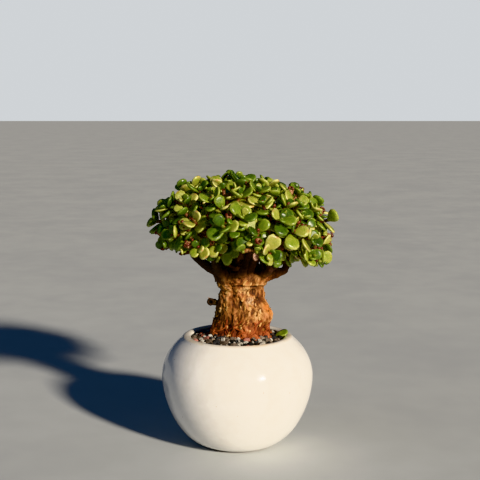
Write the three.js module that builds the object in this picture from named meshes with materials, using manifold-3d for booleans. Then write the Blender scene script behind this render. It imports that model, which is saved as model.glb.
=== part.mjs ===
// Dwarf jade bonsai in a round glazed pot. Millimetres, +Z up.
// The origin is the centre of the pot's flat foot, on the surface that it stands on.
import * as THREE from "three";
import { mergeVertices } from "three/addons/utils/BufferGeometryUtils.js";
import Module from "manifold-3d";

const wasm = await Module();
wasm.setup();

// ---- Driving dimensions ----
const GAP = 0.3; // between two pieces that stand in or rest on each other

// Pot: a thrown ball with a flat foot and a thin round lip.
const POT_RADIUS = 45;
const POT_HEIGHT = 65.6;
const POT_BELLY_HEIGHT = 41.7;
const POT_FOOT_RADIUS = 18.4;
const POT_MOUTH_RADIUS = 30.8;
const POT_BELLY_POWER = 1.82; // 2 would be a plain ellipse below the belly
const POT_WALL = 3.2;
const POT_FLOOR = 6;
const POT_SIDES = 32;

// Soil: coarse grit, heaped towards the trunk and a little higher at the front.
const SOIL_EDGE_HEIGHT = 62;
const SOIL_HEAP = 5.6;
const SOIL_FRONT_RISE = 0.6;
const SOIL_ROOM = 6; // above the pot's mouth, for the top of the heap
const SOIL_RADIUS = 29;
const SOIL_SIDES = 16; // half of the pot's, so their corners line up
const GRIT_COUNT = 39;
const GRIT_RADIUS = 2.2;
const GRIT_INNER_EDGE = 18;
const GRIT_OUTER_EDGE = 27;

// Trunk: centre and half width of each section that shapes it, up from its foot.
const TRUNK_SECTIONS = [
  { z: 50, x: 1.2, r: 11.0 },
  { z: 60, x: 1.2, r: 15.4 },
  { z: 66, x: 1.4, r: 16.4 },
  { z: 72, x: 2.2, r: 16.0 },
  { z: 79, x: 3.0, r: 15.4 },
  { z: 88, x: 2.2, r: 13.4 },
  { z: 95, x: 2.4, r: 13.9 },
  { z: 101, x: 2.6, r: 16.4 },
  { z: 106, x: 2.6, r: 12.0 },
  { z: 110, x: 2.6, r: 4.0 },
];
const TRUNK_SIDES = 16;
const TRUNK_STEPS = 14;
const FLARE_TOP = 82; // the root flares start below this height
const BURL_HEIGHT = 79;
const CALLUS_HEIGHT = 93.2;

// Cut branch ends on the trunk: two old ones that healed over, and a newer stub in the crown.
const STUBS = [
  { from: [-8, -2, 84.2], to: [-17, -3.4, 86], startRadius: 1.8, endRadius: 2.3 },
  { from: [12, -6, 99], to: [18.4, -8, 100.8], startRadius: 2.6, endRadius: 2.0 },
  { from: [6, -8, 103], to: [10, -20.5, 114.5], startRadius: 2.8, endRadius: 2.2 },
];

// Limbs: compass direction, how far out and up each one reaches from the fork, and its half width.
const FORK_X = 2.4;
const FORK_HEIGHT = 97;
const LIMB_END_RADIUS = 2;
const LIMBS = [
  { azimuth: 184, reach: 29, rise: 17, girth: 4.6 },
  { azimuth: -4, reach: 27, rise: 8, girth: 4.0 },
  { azimuth: 230, reach: 26, rise: 14, girth: 4.2 },
  { azimuth: 272, reach: 24, rise: 13, girth: 3.8 },
  { azimuth: 314, reach: 26, rise: 11, girth: 4.0 },
  { azimuth: 40, reach: 26, rise: 12, girth: 4.2 },
  { azimuth: 86, reach: 25, rise: 14, girth: 4.2 },
  { azimuth: 134, reach: 26, rise: 16, girth: 4.4 },
  { azimuth: 20, reach: 13, rise: 28, girth: 4.4 },
  { azimuth: 150, reach: 15, rise: 30, girth: 4.6 },
  { azimuth: 262, reach: 12, rise: 28, girth: 4.4 },
];

// A gap in the leaves, from the newest stub's cut end out of the crown's front.
const LEAF_GAP = { from: [9, -26, 116], to: [4, -58, 115.5], radius: 6.5 };

// Crown: a low dome of leaves that hangs lower on its right.
const CROWN_CENTRE = [3, 0, 127];
const CROWN_HALF_WIDTH = 53.5;
const CROWN_HALF_DEPTH = 52;
const CROWN_DOME = 33; // above its widest level
const CROWN_SKIRT = 19; // below its widest level
const CROWN_POWER = 2.3;
const CROWN_TILT = 5.4;
const CROWN_LOWEST_ANGLE = 109; // from the top of the dome down to its last sprays

// Skirt: no leaf hangs below this height, which rises towards the front and the left.
const SKIRT_HEIGHT = 107.5;
const SKIRT_FRONT_RISE = 0.14;
const SKIRT_LEFT_RISE = 0.2;

// Sprays: a stem with side shoots, and on each shoot leaves in crossed pairs.
const SPRAY_COUNT = 28;
const SHOOTS = 3;
const STEM_LENGTH = 7;
const STEM_LIFT = 0.3; // how strongly stems turn up to the light
const SHOOT_REACH = 10.5;
const SHOOT_SPREAD = 8.2;
const TIP_DEPTH = 4; // shoot tips lie this far inside the crown's outline
const STEM_RADIUS = 1.35;
const SHOOT_RADIUS = 1.15;
const TIP_RADIUS = 0.9;
const TWIG_RADIUS = 2.1;

// Leaves: round, thick and slightly cupped.
const LEAF_LENGTH = 10.2;
const YOUNG_LEAF_LENGTH = 8.4;
const LEAF_ASPECT = 0.86;
const LEAF_THICKNESS = 1.9;
const LEAF_NECK = 0.45; // share of the full width at the leaf's foot
const LEAF_TOE = 1.24; // and at its tip
const LEAF_SIDES = 7;
const LEAF_CLEARANCE = 0.35;

// A shed leaf lies on the grit and leans on the rim.
const SHED_LEAF = { root: [22, -0.4, 64.9], pointing: [7.6, 0.4, 1.9], roll: 18, length: 8.4 };

// ---- Repeatable random draws ----
let seed = 155;
function draw() {
  seed = (seed * 1664525 + 1013904223) % 4294967296;
  return seed / 4294967296;
}
const spread = (amount) => (draw() * 2 - 1) * amount;

const radians = THREE.MathUtils.degToRad;
const GOLDEN_ANGLE = Math.PI * (3 - Math.sqrt(5));
const vec = (x, y, z) => new THREE.Vector3(x, y, z);
const along = (p, d, s) => p.clone().addScaledVector(d, s);

// ---- Solids ----
function solid(geometry) {
  const bare = geometry.clone();
  bare.deleteAttribute("normal");
  bare.deleteAttribute("uv");
  const merged = mergeVertices(bare, 1e-4);
  const vertProperties = new Float32Array(merged.attributes.position.array);
  const triVerts = new Uint32Array(merged.index.array);
  const made = new wasm.Manifold(new wasm.Mesh({ numProp: 3, vertProperties, triVerts }));
  if (made.volume() > 0) return made;
  triVerts.reverse();
  return new wasm.Manifold(new wasm.Mesh({ numProp: 3, vertProperties, triVerts }));
}

const fuse = (bodies) => bodies.reduce((whole, body) => whole.add(body));

function named(name, body, material) {
  const { vertProperties, triVerts } = body.getMesh();
  const geometry = new THREE.BufferGeometry();
  geometry.setAttribute("position", new THREE.BufferAttribute(vertProperties, 3));
  geometry.setIndex(new THREE.BufferAttribute(triVerts, 1));
  geometry.computeVertexNormals();
  const made = new THREE.Mesh(geometry, material);
  made.name = name;
  return made;
}

// Moves every vertex of a geometry to the place that a rule gives for it.
function reshape(geometry, rule) {
  const places = geometry.attributes.position;
  const vertex = new THREE.Vector3();
  for (let i = 0; i < places.count; i += 1) {
    vertex.fromBufferAttribute(places, i);
    places.setXYZ(i, ...rule(vertex).toArray());
  }
  return geometry;
}

// A tapered bar along a curve, closed at both ends.
function bar(curve, startRadius, endRadius, sides, steps) {
  const chord = curve.getPoint(1).sub(curve.getPoint(0));
  const side = vec(0, 0, 1).cross(chord);
  if (side.length() < 0.2 * chord.length()) side.copy(vec(1, 0, 0).cross(chord));
  side.normalize();
  const shape = new THREE.CylinderGeometry(1, 1, 1, sides, steps);
  const rule = (v) => {
    const t = v.y + 0.5;
    const tangent = curve.getTangent(t);
    const across = side.clone().cross(tangent).normalize();
    const other = tangent.clone().cross(across);
    const radius = startRadius + (endRadius - startRadius) * t;
    return along(along(curve.getPoint(t), across, v.x * radius), other, v.z * radius);
  };
  return solid(reshape(shape, rule));
}

const lathe = (points, sides) =>
  solid(new THREE.LatheGeometry(points, sides).rotateX(Math.PI / 2));
const point2 = (r, z) => new THREE.Vector2(r, z);

// ---- Pot ----
// The ball's section below the belly, drawn in by an inset, from its floor to the belly.
function bellySection(inset, floor, steps) {
  const footRadius = POT_FOOT_RADIUS - inset * 0.3;
  const width = POT_RADIUS - inset - footRadius;
  const power = 2 / POT_BELLY_POWER;
  return Array.from({ length: steps + 1 }, (_, i) => {
    const a = (Math.PI / 2) * (i / steps);
    const z = POT_BELLY_HEIGHT - (POT_BELLY_HEIGHT - floor) * Math.cos(a) ** power;
    return point2(footRadius + width * Math.sin(a) ** power, z);
  });
}

// The section above the belly, from just over it to a given height.
function shoulderSection(inset, top, steps) {
  const squeeze = Math.sqrt(1 - (POT_MOUTH_RADIUS / POT_RADIUS) ** 2);
  const rise = (POT_HEIGHT - POT_BELLY_HEIGHT) / squeeze - inset;
  const topAngle = Math.asin((top - POT_BELLY_HEIGHT) / rise);
  return Array.from({ length: steps }, (_, i) => {
    const a = (topAngle * (i + 1)) / steps;
    return point2((POT_RADIUS - inset) * Math.cos(a), POT_BELLY_HEIGHT + rise * Math.sin(a));
  });
}

function makePot() {
  const lipStart = POT_HEIGHT - POT_WALL / 2;
  const outside = [...bellySection(0, 0, 7), ...shoulderSection(0, lipStart, 4)];
  const inside = [
    ...bellySection(POT_WALL, POT_FLOOR, 4),
    ...shoulderSection(POT_WALL, lipStart, 3),
  ];
  const lip = point2((outside.at(-1).x + inside.at(-1).x) / 2, POT_HEIGHT);
  const section = [point2(0, 0), ...outside, lip, ...inside.reverse(), point2(0, POT_FLOOR)];
  return lathe(section, POT_SIDES);
}

// ---- Trunk and limbs ----
const trunkCurve = new THREE.CatmullRomCurve3(
  TRUNK_SECTIONS.map(({ z, x, r }) => vec(x, r, z)),
  false,
  "centripetal",
);

// The skin's distance from the trunk's core: root flares low down, a burl on the right,
// a callus ring under the fork and low ribs of bark all round.
function trunkRadius(r, z, angle) {
  const flare = THREE.MathUtils.clamp((FLARE_TOP - z) / 22, 0, 1);
  const roots = 1.5 * flare * Math.cos(5 * angle + 0.9) + 0.8 * flare * Math.cos(3 * angle + 2);
  const ribs = 0.45 * Math.cos(7 * angle + 0.12 * z) + 0.35 * Math.cos(4 * angle - 0.1 * z);
  const burlSide = Math.max(0, Math.cos(angle + 0.35)) ** 6;
  const burl = 2.6 * Math.exp(-(((z - BURL_HEIGHT) / 5) ** 2)) * burlSide;
  const ring = 0.9 * Math.exp(-(((z - CALLUS_HEIGHT) / 1.6) ** 2));
  return r + (roots + ribs + burl - ring) * Math.min(1, r / 12);
}

// The trunk, or with some growth the hole that it stands in.
function makeTrunkBody(growth) {
  const shape = new THREE.CylinderGeometry(1, 1, 1, TRUNK_SIDES, TRUNK_STEPS);
  const rule = (v) => {
    const { x, y: r, z } = trunkCurve.getPoint(v.y + 0.5);
    const angle = Math.atan2(v.z, v.x);
    const radius = Math.hypot(v.x, v.z) * (trunkRadius(r, z, angle) + growth);
    const drop = v.y < -0.49 ? growth : 0;
    return vec(x + radius * Math.cos(angle), radius * Math.sin(angle), z - drop);
  };
  return solid(reshape(shape, rule));
}

function limbCurve({ azimuth, reach, rise }) {
  const a = radians(azimuth);
  const at = (out, up) => {
    const turn = a + spread(0.08);
    const r = reach * out;
    return vec(FORK_X + r * Math.cos(turn), r * Math.sin(turn), FORK_HEIGHT + rise * up);
  };
  return new THREE.CatmullRomCurve3([at(0.12, 0), at(0.42, 0.3), at(0.72, 0.62), at(1, 1)]);
}

const straight = ({ from, to }) => new THREE.LineCurve3(vec(...from), vec(...to));

// Each spray grows from the nearest point of the outer part of a limb.
function twigCurve({ base, axis }, limbCurves) {
  const end = along(base, axis, -GAP);
  const starts = limbCurves.flatMap((curve) => [0.6, 0.75, 0.9].map((t) => curve.getPoint(t)));
  const start = starts.reduce((a, b) => (a.distanceTo(end) <= b.distanceTo(end) ? a : b));
  const bend = along(end, axis, -0.45 * start.distanceTo(end));
  return new THREE.QuadraticBezierCurve3(start, bend, end);
}

// ---- Crown ----
// A place on the crown's outline, from its centre, and the way that the outline faces there.
function crownSkin(polar, azimuth) {
  const share = (v) => Math.sign(v) * Math.abs(v) ** (2 / CROWN_POWER);
  const steep = (v) => Math.sign(v) * Math.abs(v) ** (CROWN_POWER - 1);
  const out = share(Math.sin(polar));
  const up = share(Math.cos(polar));
  const height = up > 0 ? CROWN_DOME : CROWN_SKIRT;
  const c = Math.cos(azimuth);
  const s = Math.sin(azimuth);
  const place = vec(CROWN_HALF_WIDTH * out * c, CROWN_HALF_DEPTH * out * s, height * up);
  const facing = vec(
    (steep(out) / CROWN_HALF_WIDTH) * c,
    (steep(out) / CROWN_HALF_DEPTH) * s,
    steep(up) / height,
  ).normalize();
  const sideways = vec(0, 1, 0);
  const tilt = radians(CROWN_TILT);
  place.applyAxisAngle(sideways, tilt);
  facing.applyAxisAngle(sideways, tilt);
  return { place, facing };
}

// Polar angles that share the crown's area out evenly.
function evenPolarAngles(count) {
  const steps = 240;
  const angles = [0];
  const area = [0];
  for (let i = 1; i <= steps; i += 1) {
    angles.push(radians(CROWN_LOWEST_ANGLE) * (i / steps));
    const a = crownSkin(angles[i - 1], 0).place;
    const b = crownSkin(angles[i], 0).place;
    area.push(area[i - 1] + a.distanceTo(b) * (Math.abs(a.x) + Math.abs(b.x)));
  }
  return Array.from({ length: count }, (_, j) => {
    const wanted = (area[steps] * (j + 0.5)) / count;
    const i = area.findIndex((value) => value >= wanted);
    const share = (wanted - area[i - 1]) / (area[i] - area[i - 1]);
    return angles[i - 1] + (angles[i] - angles[i - 1]) * share;
  });
}

// One spray: where its stem starts and forks, and the tips of its shoots round the fork's axis.
function planSpray(polar, j) {
  const azimuth = j * GOLDEN_ANGLE + spread(0.12);
  const { place, facing } = crownSkin(polar + spread(0.05), azimuth);
  const outer = along(vec(...CROWN_CENTRE), place, 1 - 0.07 * draw());
  const axis = facing.setZ(Math.max(facing.z, 0) + STEM_LIFT).normalize();
  const sideways = vec(-Math.sin(azimuth), Math.cos(azimuth), 0);
  const upward = axis.clone().cross(sideways).normalize();
  const fork = along(outer, axis, -TIP_DEPTH - SHOOT_REACH);
  const base = along(fork, axis, -STEM_LENGTH);
  const turn = draw() * 2 * Math.PI;
  const shoots = Array.from({ length: SHOOTS }, (_, k) => {
    const a = turn + (k * 2 * Math.PI) / SHOOTS + spread(0.2);
    const lean = along(upward.clone().multiplyScalar(Math.sin(a)), sideways, Math.cos(a));
    const far = SHOOT_SPREAD * (1 + spread(0.12));
    const tip = along(along(fork, axis, SHOOT_REACH + spread(1.4)), lean, far);
    const heading = tip.clone().sub(fork).normalize().add(axis).normalize();
    return { line: new THREE.LineCurve3(fork, tip), heading, turn: draw() * Math.PI };
  });
  return { base, fork, axis, shoots };
}

// ---- Leaves ----
// A leaf starts at its root, points one way, looks up another and has a size.
function leafFrame(root, pointing, upper, length) {
  const across = upper.clone().cross(pointing).normalize();
  const leaf = { root, pointing, across, upper, length, width: length * LEAF_ASPECT };
  leaf.middle = leafPlace(leaf, 0.5, 0, 0);
  leaf.probes = PROBES.map(([t, s, h]) => leafPlace(leaf, t, s, h));
  return leaf;
}

// A place on a leaf: t along it, s across it from -1 to 1, and h through it from -1 to 1.
function leafPlace({ root, pointing, across, upper, length, width }, t, s, h) {
  const sideways = (width / 2) * (LEAF_NECK + (LEAF_TOE - LEAF_NECK) * t) * s;
  const cup = LEAF_THICKNESS * (0.3 * s * s + 0.5 * (t - 0.5) ** 2 - 0.2);
  const onAxis = along(root, pointing, t * length);
  return along(along(onAxis, across, sideways), upper, cup + (h * LEAF_THICKNESS) / 2);
}

// A leaf is a thick lens: a rim with a point at its foot and a blunt tip, swollen on both faces.
function makeLeaf(leaf) {
  const rule = (v) => {
    const a = Math.atan2(v.z, v.x);
    const out = Math.hypot(v.x, v.z);
    return leafPlace(leaf, 0.5 + 0.5 * out * Math.cos(a), out * Math.sin(a), v.y);
  };
  return solid(reshape(new THREE.SphereGeometry(1, LEAF_SIDES, 2), rule));
}

// Places over a leaf's rim and faces that stand for it when its room is tested.
const PROBES = [[0.5, 0, 1], [0.5, 0, -1]];
for (let i = 0; i < 16; i += 1) {
  const a = (i / 16) * 2 * Math.PI;
  PROBES.push([0.5 - 0.5 * Math.cos(a), Math.sin(a), 0]);
  if (i % 2) PROBES.push([0.5 - 0.28 * Math.cos(a), 0.55 * Math.sin(a), i % 4 === 1 ? 0.7 : -0.7]);
}

// Whether a point comes too near a leaf, taken as a flat rounded block.
function nearLeaf(leaf, point) {
  const d = point.clone().sub(leaf.root);
  const u = Math.abs(d.dot(leaf.pointing) - leaf.length / 2) / (leaf.length / 2 + LEAF_CLEARANCE);
  const v = Math.abs(d.dot(leaf.across)) / (leaf.width / 2 + LEAF_CLEARANCE);
  const w = Math.abs(d.dot(leaf.upper)) / (LEAF_THICKNESS * 0.6 + LEAF_CLEARANCE);
  return (u ** 2.6 + v ** 2.6) ** (2 / 2.6) + w * w < 1;
}

function nearRod({ start, end, radius }, point) {
  const chord = end.clone().sub(start);
  const share = point.clone().sub(start).dot(chord) / chord.lengthSq();
  const nearest = along(start, chord, THREE.MathUtils.clamp(share, 0, 1));
  return point.distanceTo(nearest) < radius + LEAF_CLEARANCE;
}

const skirtHeight = ({ x, y }) =>
  SKIRT_HEIGHT - SKIRT_FRONT_RISE * y - SKIRT_LEFT_RISE * Math.min(x, 0);

// Leaves stay above the skirt, and may only meet their own shoot and the leaves on it.
function hasRoom(leaf, shoot, leaves, rods) {
  if (leaf.probes.some((p) => p.z < skirtHeight(p))) return false;
  for (const other of leaves) {
    const reach = (leaf.length + other.length) * 0.55 + 1;
    if (other.shoot === shoot || leaf.middle.distanceTo(other.middle) > reach) continue;
    if (leaf.probes.some((p) => nearLeaf(other, p))) return false;
    if (other.probes.some((p) => nearLeaf(leaf, p))) return false;
  }
  return !rods.some((rod) => rod.shoot !== shoot && leaf.probes.some((p) => nearRod(rod, p)));
}

// Ways to shift a leaf that has no room: turn round the shoot, fold, and share of its size.
const SHIFTS = [
  [0, 0, 1], [0.35, 0, 1], [-0.35, 0, 1], [0, -0.25, 1], [0, 0.25, 1],
  [0.6, -0.1, 0.9], [-0.6, -0.1, 0.9], [0, -0.45, 0.9], [0.3, -0.3, 0.8],
  [-0.3, -0.3, 0.8], [0.8, -0.3, 0.8], [-0.8, -0.3, 0.8], [0, -0.6, 0.75],
];

// Leaf pairs from the tip down: place along the shoot, length, and fold away from the shoot.
const PAIR_KINDS = [
  { share: 0.94, length: YOUNG_LEAF_LENGTH, fold: 0.85 },
  { share: 0.72, length: LEAF_LENGTH, fold: 1.25 },
];

function growLeaf({ line, heading }, kind, azimuth, shoot, leaves, rods) {
  const sideways = vec(0, 0, 1).cross(heading).normalize();
  const upward = heading.clone().cross(sideways);
  const fold = kind.fold + spread(0.15);
  const length = kind.length * (1 + spread(0.13));
  for (const [turn, droop, scale] of SHIFTS) {
    const a = azimuth + turn;
    const lean = along(sideways.clone().multiplyScalar(Math.cos(a)), upward, Math.sin(a));
    const f = fold + droop;
    const pointing = along(heading.clone().multiplyScalar(Math.cos(f)), lean, Math.sin(f));
    const upper = along(heading.clone().multiplyScalar(Math.sin(f)), lean, -Math.cos(f));
    const root = along(line.getPoint(kind.share), lean, 0.25);
    const leaf = leafFrame(root, pointing, upper, length * scale);
    if (hasRoom(leaf, shoot, leaves, rods)) {
      leaves.push({ ...leaf, shoot });
      return;
    }
  }
}

function growLeaves(sprays, rods) {
  const leaves = [];
  PAIR_KINDS.forEach((kind, pair) => {
    sprays.forEach(({ shoots }, j) => {
      shoots.forEach((shoot, k) => {
        for (let half = 0; half < 2; half += 1) {
          const azimuth = shoot.turn + (Math.PI / 2) * pair + Math.PI * half + spread(0.15);
          growLeaf(shoot, kind, azimuth, j * SHOOTS + k, leaves, rods);
        }
      });
    });
  });
  return leaves;
}

// ---- Plant ----
// A bar as straight rods, each with the number of the shoot that it is, or -1 for no shoot.
function rodsAlong(curve, steps, startRadius, endRadius, shoot) {
  return Array.from({ length: steps }, (_, i) => ({
    start: curve.getPoint(i / steps),
    end: curve.getPoint((i + 1) / steps),
    radius: startRadius + ((endRadius - startRadius) * (i + 0.5)) / steps,
    shoot,
  }));
}

const limbCurves = LIMBS.map(limbCurve);
const sprays = evenPolarAngles(SPRAY_COUNT).map(planSpray);
const twigCurves = sprays.map((spray) => twigCurve(spray, limbCurves));
const rods = [
  ...LIMBS.flatMap(({ girth }, i) => rodsAlong(limbCurves[i], 4, girth, LIMB_END_RADIUS, -1)),
  ...STUBS.flatMap((stub) => rodsAlong(straight(stub), 1, stub.startRadius, stub.endRadius, -1)),
  ...rodsAlong(straight(LEAF_GAP), 1, LEAF_GAP.radius, LEAF_GAP.radius, -1),
  ...twigCurves.flatMap((curve) => rodsAlong(curve, 2, TWIG_RADIUS, STEM_RADIUS, -1)),
  ...sprays.flatMap(({ base, fork, shoots }, j) => [
    ...rodsAlong(new THREE.LineCurve3(base, fork), 1, STEM_RADIUS, STEM_RADIUS, -1),
    ...shoots.flatMap(({ line }, k) =>
      rodsAlong(line, 1, SHOOT_RADIUS, TIP_RADIUS, j * SHOOTS + k)),
  ]),
];
const leaves = growLeaves(sprays, rods);

function makeTrunk() {
  return fuse([
    makeTrunkBody(0),
    ...STUBS.map((stub) => bar(straight(stub), stub.startRadius, stub.endRadius, 6, 1)),
    ...LIMBS.map(({ girth }, i) => bar(limbCurves[i], girth, LIMB_END_RADIUS, 5, 3)),
    ...twigCurves.map((curve) => bar(curve, TWIG_RADIUS, STEM_RADIUS, 3, 2)),
  ]);
}

// The first shoot carries the stem on, and the others branch from it.
function makeSpray({ base, fork, shoots }, j) {
  const leader = new THREE.CatmullRomCurve3([base, fork, shoots[0].line.v2]);
  const stems = shoots.slice(1).map(({ line }) => bar(line, SHOOT_RADIUS, TIP_RADIUS, 3, 1));
  const own = leaves.filter(({ shoot }) => Math.floor(shoot / SHOOTS) === j);
  return fuse([bar(leader, STEM_RADIUS, TIP_RADIUS, 3, 2), ...stems, ...own.map(makeLeaf)]);
}

// ---- Soil ----
const soilHeight = (x, y) => {
  const near = 1 - (x * x + y * y) / SOIL_RADIUS ** 2;
  return SOIL_EDGE_HEIGHT + SOIL_HEAP * near - (SOIL_FRONT_RISE * y) / SOIL_RADIUS;
};

function makeHeap() {
  const rings = [30, 24, 18, 10].map((r) => point2(r, POT_HEIGHT));
  const section = [point2(0, 1), point2(30, 1), ...rings, point2(0, POT_HEIGHT)];
  const shape = new THREE.LatheGeometry(section, SOIL_SIDES).rotateX(Math.PI / 2);
  const rule = (v) => (v.z > POT_FLOOR ? v.setZ(soilHeight(v.x, v.y)) : v);
  return solid(reshape(shape, rule));
}

function makeGrain() {
  const a = draw() * 2 * Math.PI;
  const width = GRIT_OUTER_EDGE - GRIT_INNER_EDGE;
  const r = GRIT_INNER_EDGE + width * Math.sqrt(draw());
  const x = r * Math.cos(a);
  const y = r * Math.sin(a);
  const size = GRIT_RADIUS * (0.75 + 0.5 * draw());
  const shape = new THREE.OctahedronGeometry(size)
    .scale(1, 0.8 + 0.3 * draw(), 0.75)
    .rotateX(spread(0.6))
    .rotateY(spread(0.6))
    .rotateZ(draw() * Math.PI)
    .translate(x, y, soilHeight(x, y) + 0.1);
  return { x, y, size, shape };
}

function makeSoil(shedLeaf) {
  const grains = Array.from({ length: GRIT_COUNT }, makeGrain);
  const { x, y } = shedLeaf.middle;
  const clear = grains.filter((g) => Math.hypot(g.x - x, g.y - y) > shedLeaf.length / 2 + g.size);
  const section = [
    ...bellySection(POT_WALL + GAP, POT_FLOOR + GAP, 4),
    ...shoulderSection(POT_WALL + GAP, POT_HEIGHT, 3),
  ];
  const top = POT_HEIGHT + SOIL_ROOM;
  const room = [...section, point2(section.at(-1).x, top), point2(0, top)];
  const cavity = lathe([point2(0, POT_FLOOR + GAP), ...room], SOIL_SIDES);
  const heap = fuse([makeHeap(), ...clear.map(({ shape }) => solid(shape))]);
  return heap.intersect(cavity).subtract(makeTrunkBody(GAP));
}

function planShedLeaf({ root, pointing, roll, length }) {
  const direction = vec(...pointing).normalize();
  const across = vec(0, 0, 1).cross(direction).normalize();
  across.applyAxisAngle(direction, radians(roll));
  return leafFrame(vec(...root), direction, direction.clone().cross(across), length);
}

// ---- Assembly ----
const finish = (color, roughness) =>
  new THREE.MeshStandardMaterial({ color, roughness, metalness: 0 });
const glaze = finish(0xf1ece2, 0.12);
const grit = finish(0x5b5048, 0.95);
const bark = finish(0x8a5a30, 0.85);
const foliage = finish(0x5f8f1e, 0.35);

const shedLeaf = planShedLeaf(SHED_LEAF);
const group = new THREE.Group();
group.add(named("pot", makePot(), glaze));
group.add(named("soil", makeSoil(shedLeaf), grit));
group.add(named("trunk", makeTrunk(), bark));
group.add(named("shed_leaf", makeLeaf(shedLeaf), foliage));
sprays.forEach((spray, j) => {
  const name = `spray_${String(j + 1).padStart(2, "0")}`;
  group.add(named(name, makeSpray(spray, j), foliage));
});

export default group;
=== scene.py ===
# A dwarf jade bonsai in its pot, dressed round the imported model. Metres, +Z up.
import math
import random

import bpy
import numpy as np
from mathutils import Matrix, Vector
from mathutils.bvhtree import BVHTree


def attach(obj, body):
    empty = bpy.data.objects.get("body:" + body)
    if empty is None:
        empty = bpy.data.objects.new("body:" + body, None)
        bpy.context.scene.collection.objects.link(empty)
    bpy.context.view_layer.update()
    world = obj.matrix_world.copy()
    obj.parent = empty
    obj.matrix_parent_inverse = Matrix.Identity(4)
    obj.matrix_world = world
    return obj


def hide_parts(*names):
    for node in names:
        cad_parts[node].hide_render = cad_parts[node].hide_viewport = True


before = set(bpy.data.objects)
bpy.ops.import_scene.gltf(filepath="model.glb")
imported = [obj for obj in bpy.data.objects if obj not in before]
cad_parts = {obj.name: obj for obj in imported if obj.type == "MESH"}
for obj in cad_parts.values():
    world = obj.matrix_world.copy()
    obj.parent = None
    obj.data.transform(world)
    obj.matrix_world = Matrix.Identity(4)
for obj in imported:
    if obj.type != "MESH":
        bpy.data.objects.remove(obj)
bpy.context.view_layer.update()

MM = 0.001

# ---- Pot ----
# A round pot, thrown on a wheel from pale stoneware and dipped in a thick white glaze that
# is fired glossy. The potter wipes the glaze off the foot ring, so that it stands on bare clay.
POT_RADIUS = 45 * MM
POT_HEIGHT = 65.6 * MM
BELLY_HEIGHT = 41.7 * MM
FOOT_RADIUS = 18.4 * MM
MOUTH_RADIUS = 30.8 * MM
BELLY_POWER = 1.82
WALL = 3.2 * MM
FLOOR_THICKNESS = 6 * MM
FOOT_HOLLOW = 1.1 * MM
FOOT_RING_WIDTH = 3.4 * MM
LIP_START = POT_HEIGHT - WALL / 2
LIP_BEND = 0.18
POT_CENTRE = 6 * MM
POT_SIDES = 64
BELLY_SWELL = 0.3


def work_on(piece, mode="OBJECT"):
    """Makes a piece the only one that is selected, and enters a mode with all of it selected."""
    if bpy.context.object and bpy.context.object.mode != "OBJECT":
        bpy.ops.object.mode_set(mode="OBJECT")
    bpy.ops.object.select_all(action="DESELECT")
    bpy.context.view_layer.objects.active = piece
    piece.select_set(True)
    if mode == "EDIT":
        bpy.ops.object.mode_set(mode="EDIT")
        bpy.ops.mesh.select_all(action="SELECT")


def new_piece(name):
    """Names the primitive that was added last, and starts work on it."""
    piece = bpy.context.object
    piece.name = name
    piece.data.name = name
    return piece


def apply_modifier(piece, kind, **settings):
    """Adds one modifier with its settings, and applies it."""
    modifier = piece.modifiers.new(kind.lower(), kind)
    for setting, value in settings.items():
        setattr(modifier, setting, value)
    work_on(piece)
    bpy.ops.object.modifier_apply(modifier=modifier.name)


def relief(piece, kind, size, depth, **settings):
    """Pushes a surface in and out by a texture of that grain size, depth from lowest to highest."""
    texture = bpy.data.textures.new(f"{piece.name}_{kind.lower()}", kind)
    texture.noise_scale = size
    settings = {"texture_coords": "LOCAL", **settings}
    apply_modifier(piece, "DISPLACE", texture=texture, strength=depth, mid_level=0.5, **settings)
    bpy.data.textures.remove(texture)


def tidy_surface(piece, smooth=True):
    """Merges doubles, turns all faces outwards and shades the piece."""
    work_on(piece, "EDIT")
    bpy.ops.mesh.remove_doubles(threshold=0.01 * MM)
    bpy.ops.mesh.normals_make_consistent(inside=False)
    work_on(piece)
    if smooth:
        bpy.ops.object.shade_smooth()


def throw_rings(name, rings, sides):
    """Throws a round body: a disc is drawn up, in or out from each (radius, height) to the next."""
    bpy.ops.object.select_all(action="DESELECT")
    radius, height = rings[0]
    bpy.ops.mesh.primitive_circle_add(
        vertices=sides, radius=radius, fill_type="NGON", location=(0, 0, height))
    piece = new_piece(name)
    work_on(piece)
    bpy.ops.object.transform_apply(location=True)
    work_on(piece, "EDIT")
    for next_radius, next_height in rings[1:]:
        bpy.ops.mesh.extrude_region_move(
            TRANSFORM_OT_translate={"value": (0, 0, next_height - height)})
        share = next_radius / radius
        bpy.ops.transform.resize(value=(share, share, 1), center_override=(0, 0, 0))
        radius, height = next_radius, next_height
    tidy_surface(piece)
    return piece


def belly_rings(inset, floor, steps):
    """The ball's section below its widest level, drawn in by an inset, from its floor up."""
    foot = FOOT_RADIUS - BELLY_SWELL * inset
    width = POT_RADIUS - inset - foot
    power = 2 / BELLY_POWER
    turns = [math.pi / 2 * i / steps for i in range(steps + 1)]
    return [(foot + width * math.sin(a) ** power,
             BELLY_HEIGHT - (BELLY_HEIGHT - floor) * max(math.cos(a), 0) ** power)
            for a in turns]


def shoulder_rings(inset, top, steps):
    """The section above the widest level, from just over it to a given height."""
    squeeze = math.sqrt(1 - (MOUTH_RADIUS / POT_RADIUS) ** 2)
    rise = (POT_HEIGHT - BELLY_HEIGHT) / squeeze - inset
    top_turn = math.asin((top - BELLY_HEIGHT) / rise)
    turns = [top_turn * (i + 1) / steps for i in range(steps)]
    return [((POT_RADIUS - inset) * math.cos(a), BELLY_HEIGHT + rise * math.sin(a)) for a in turns]


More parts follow.
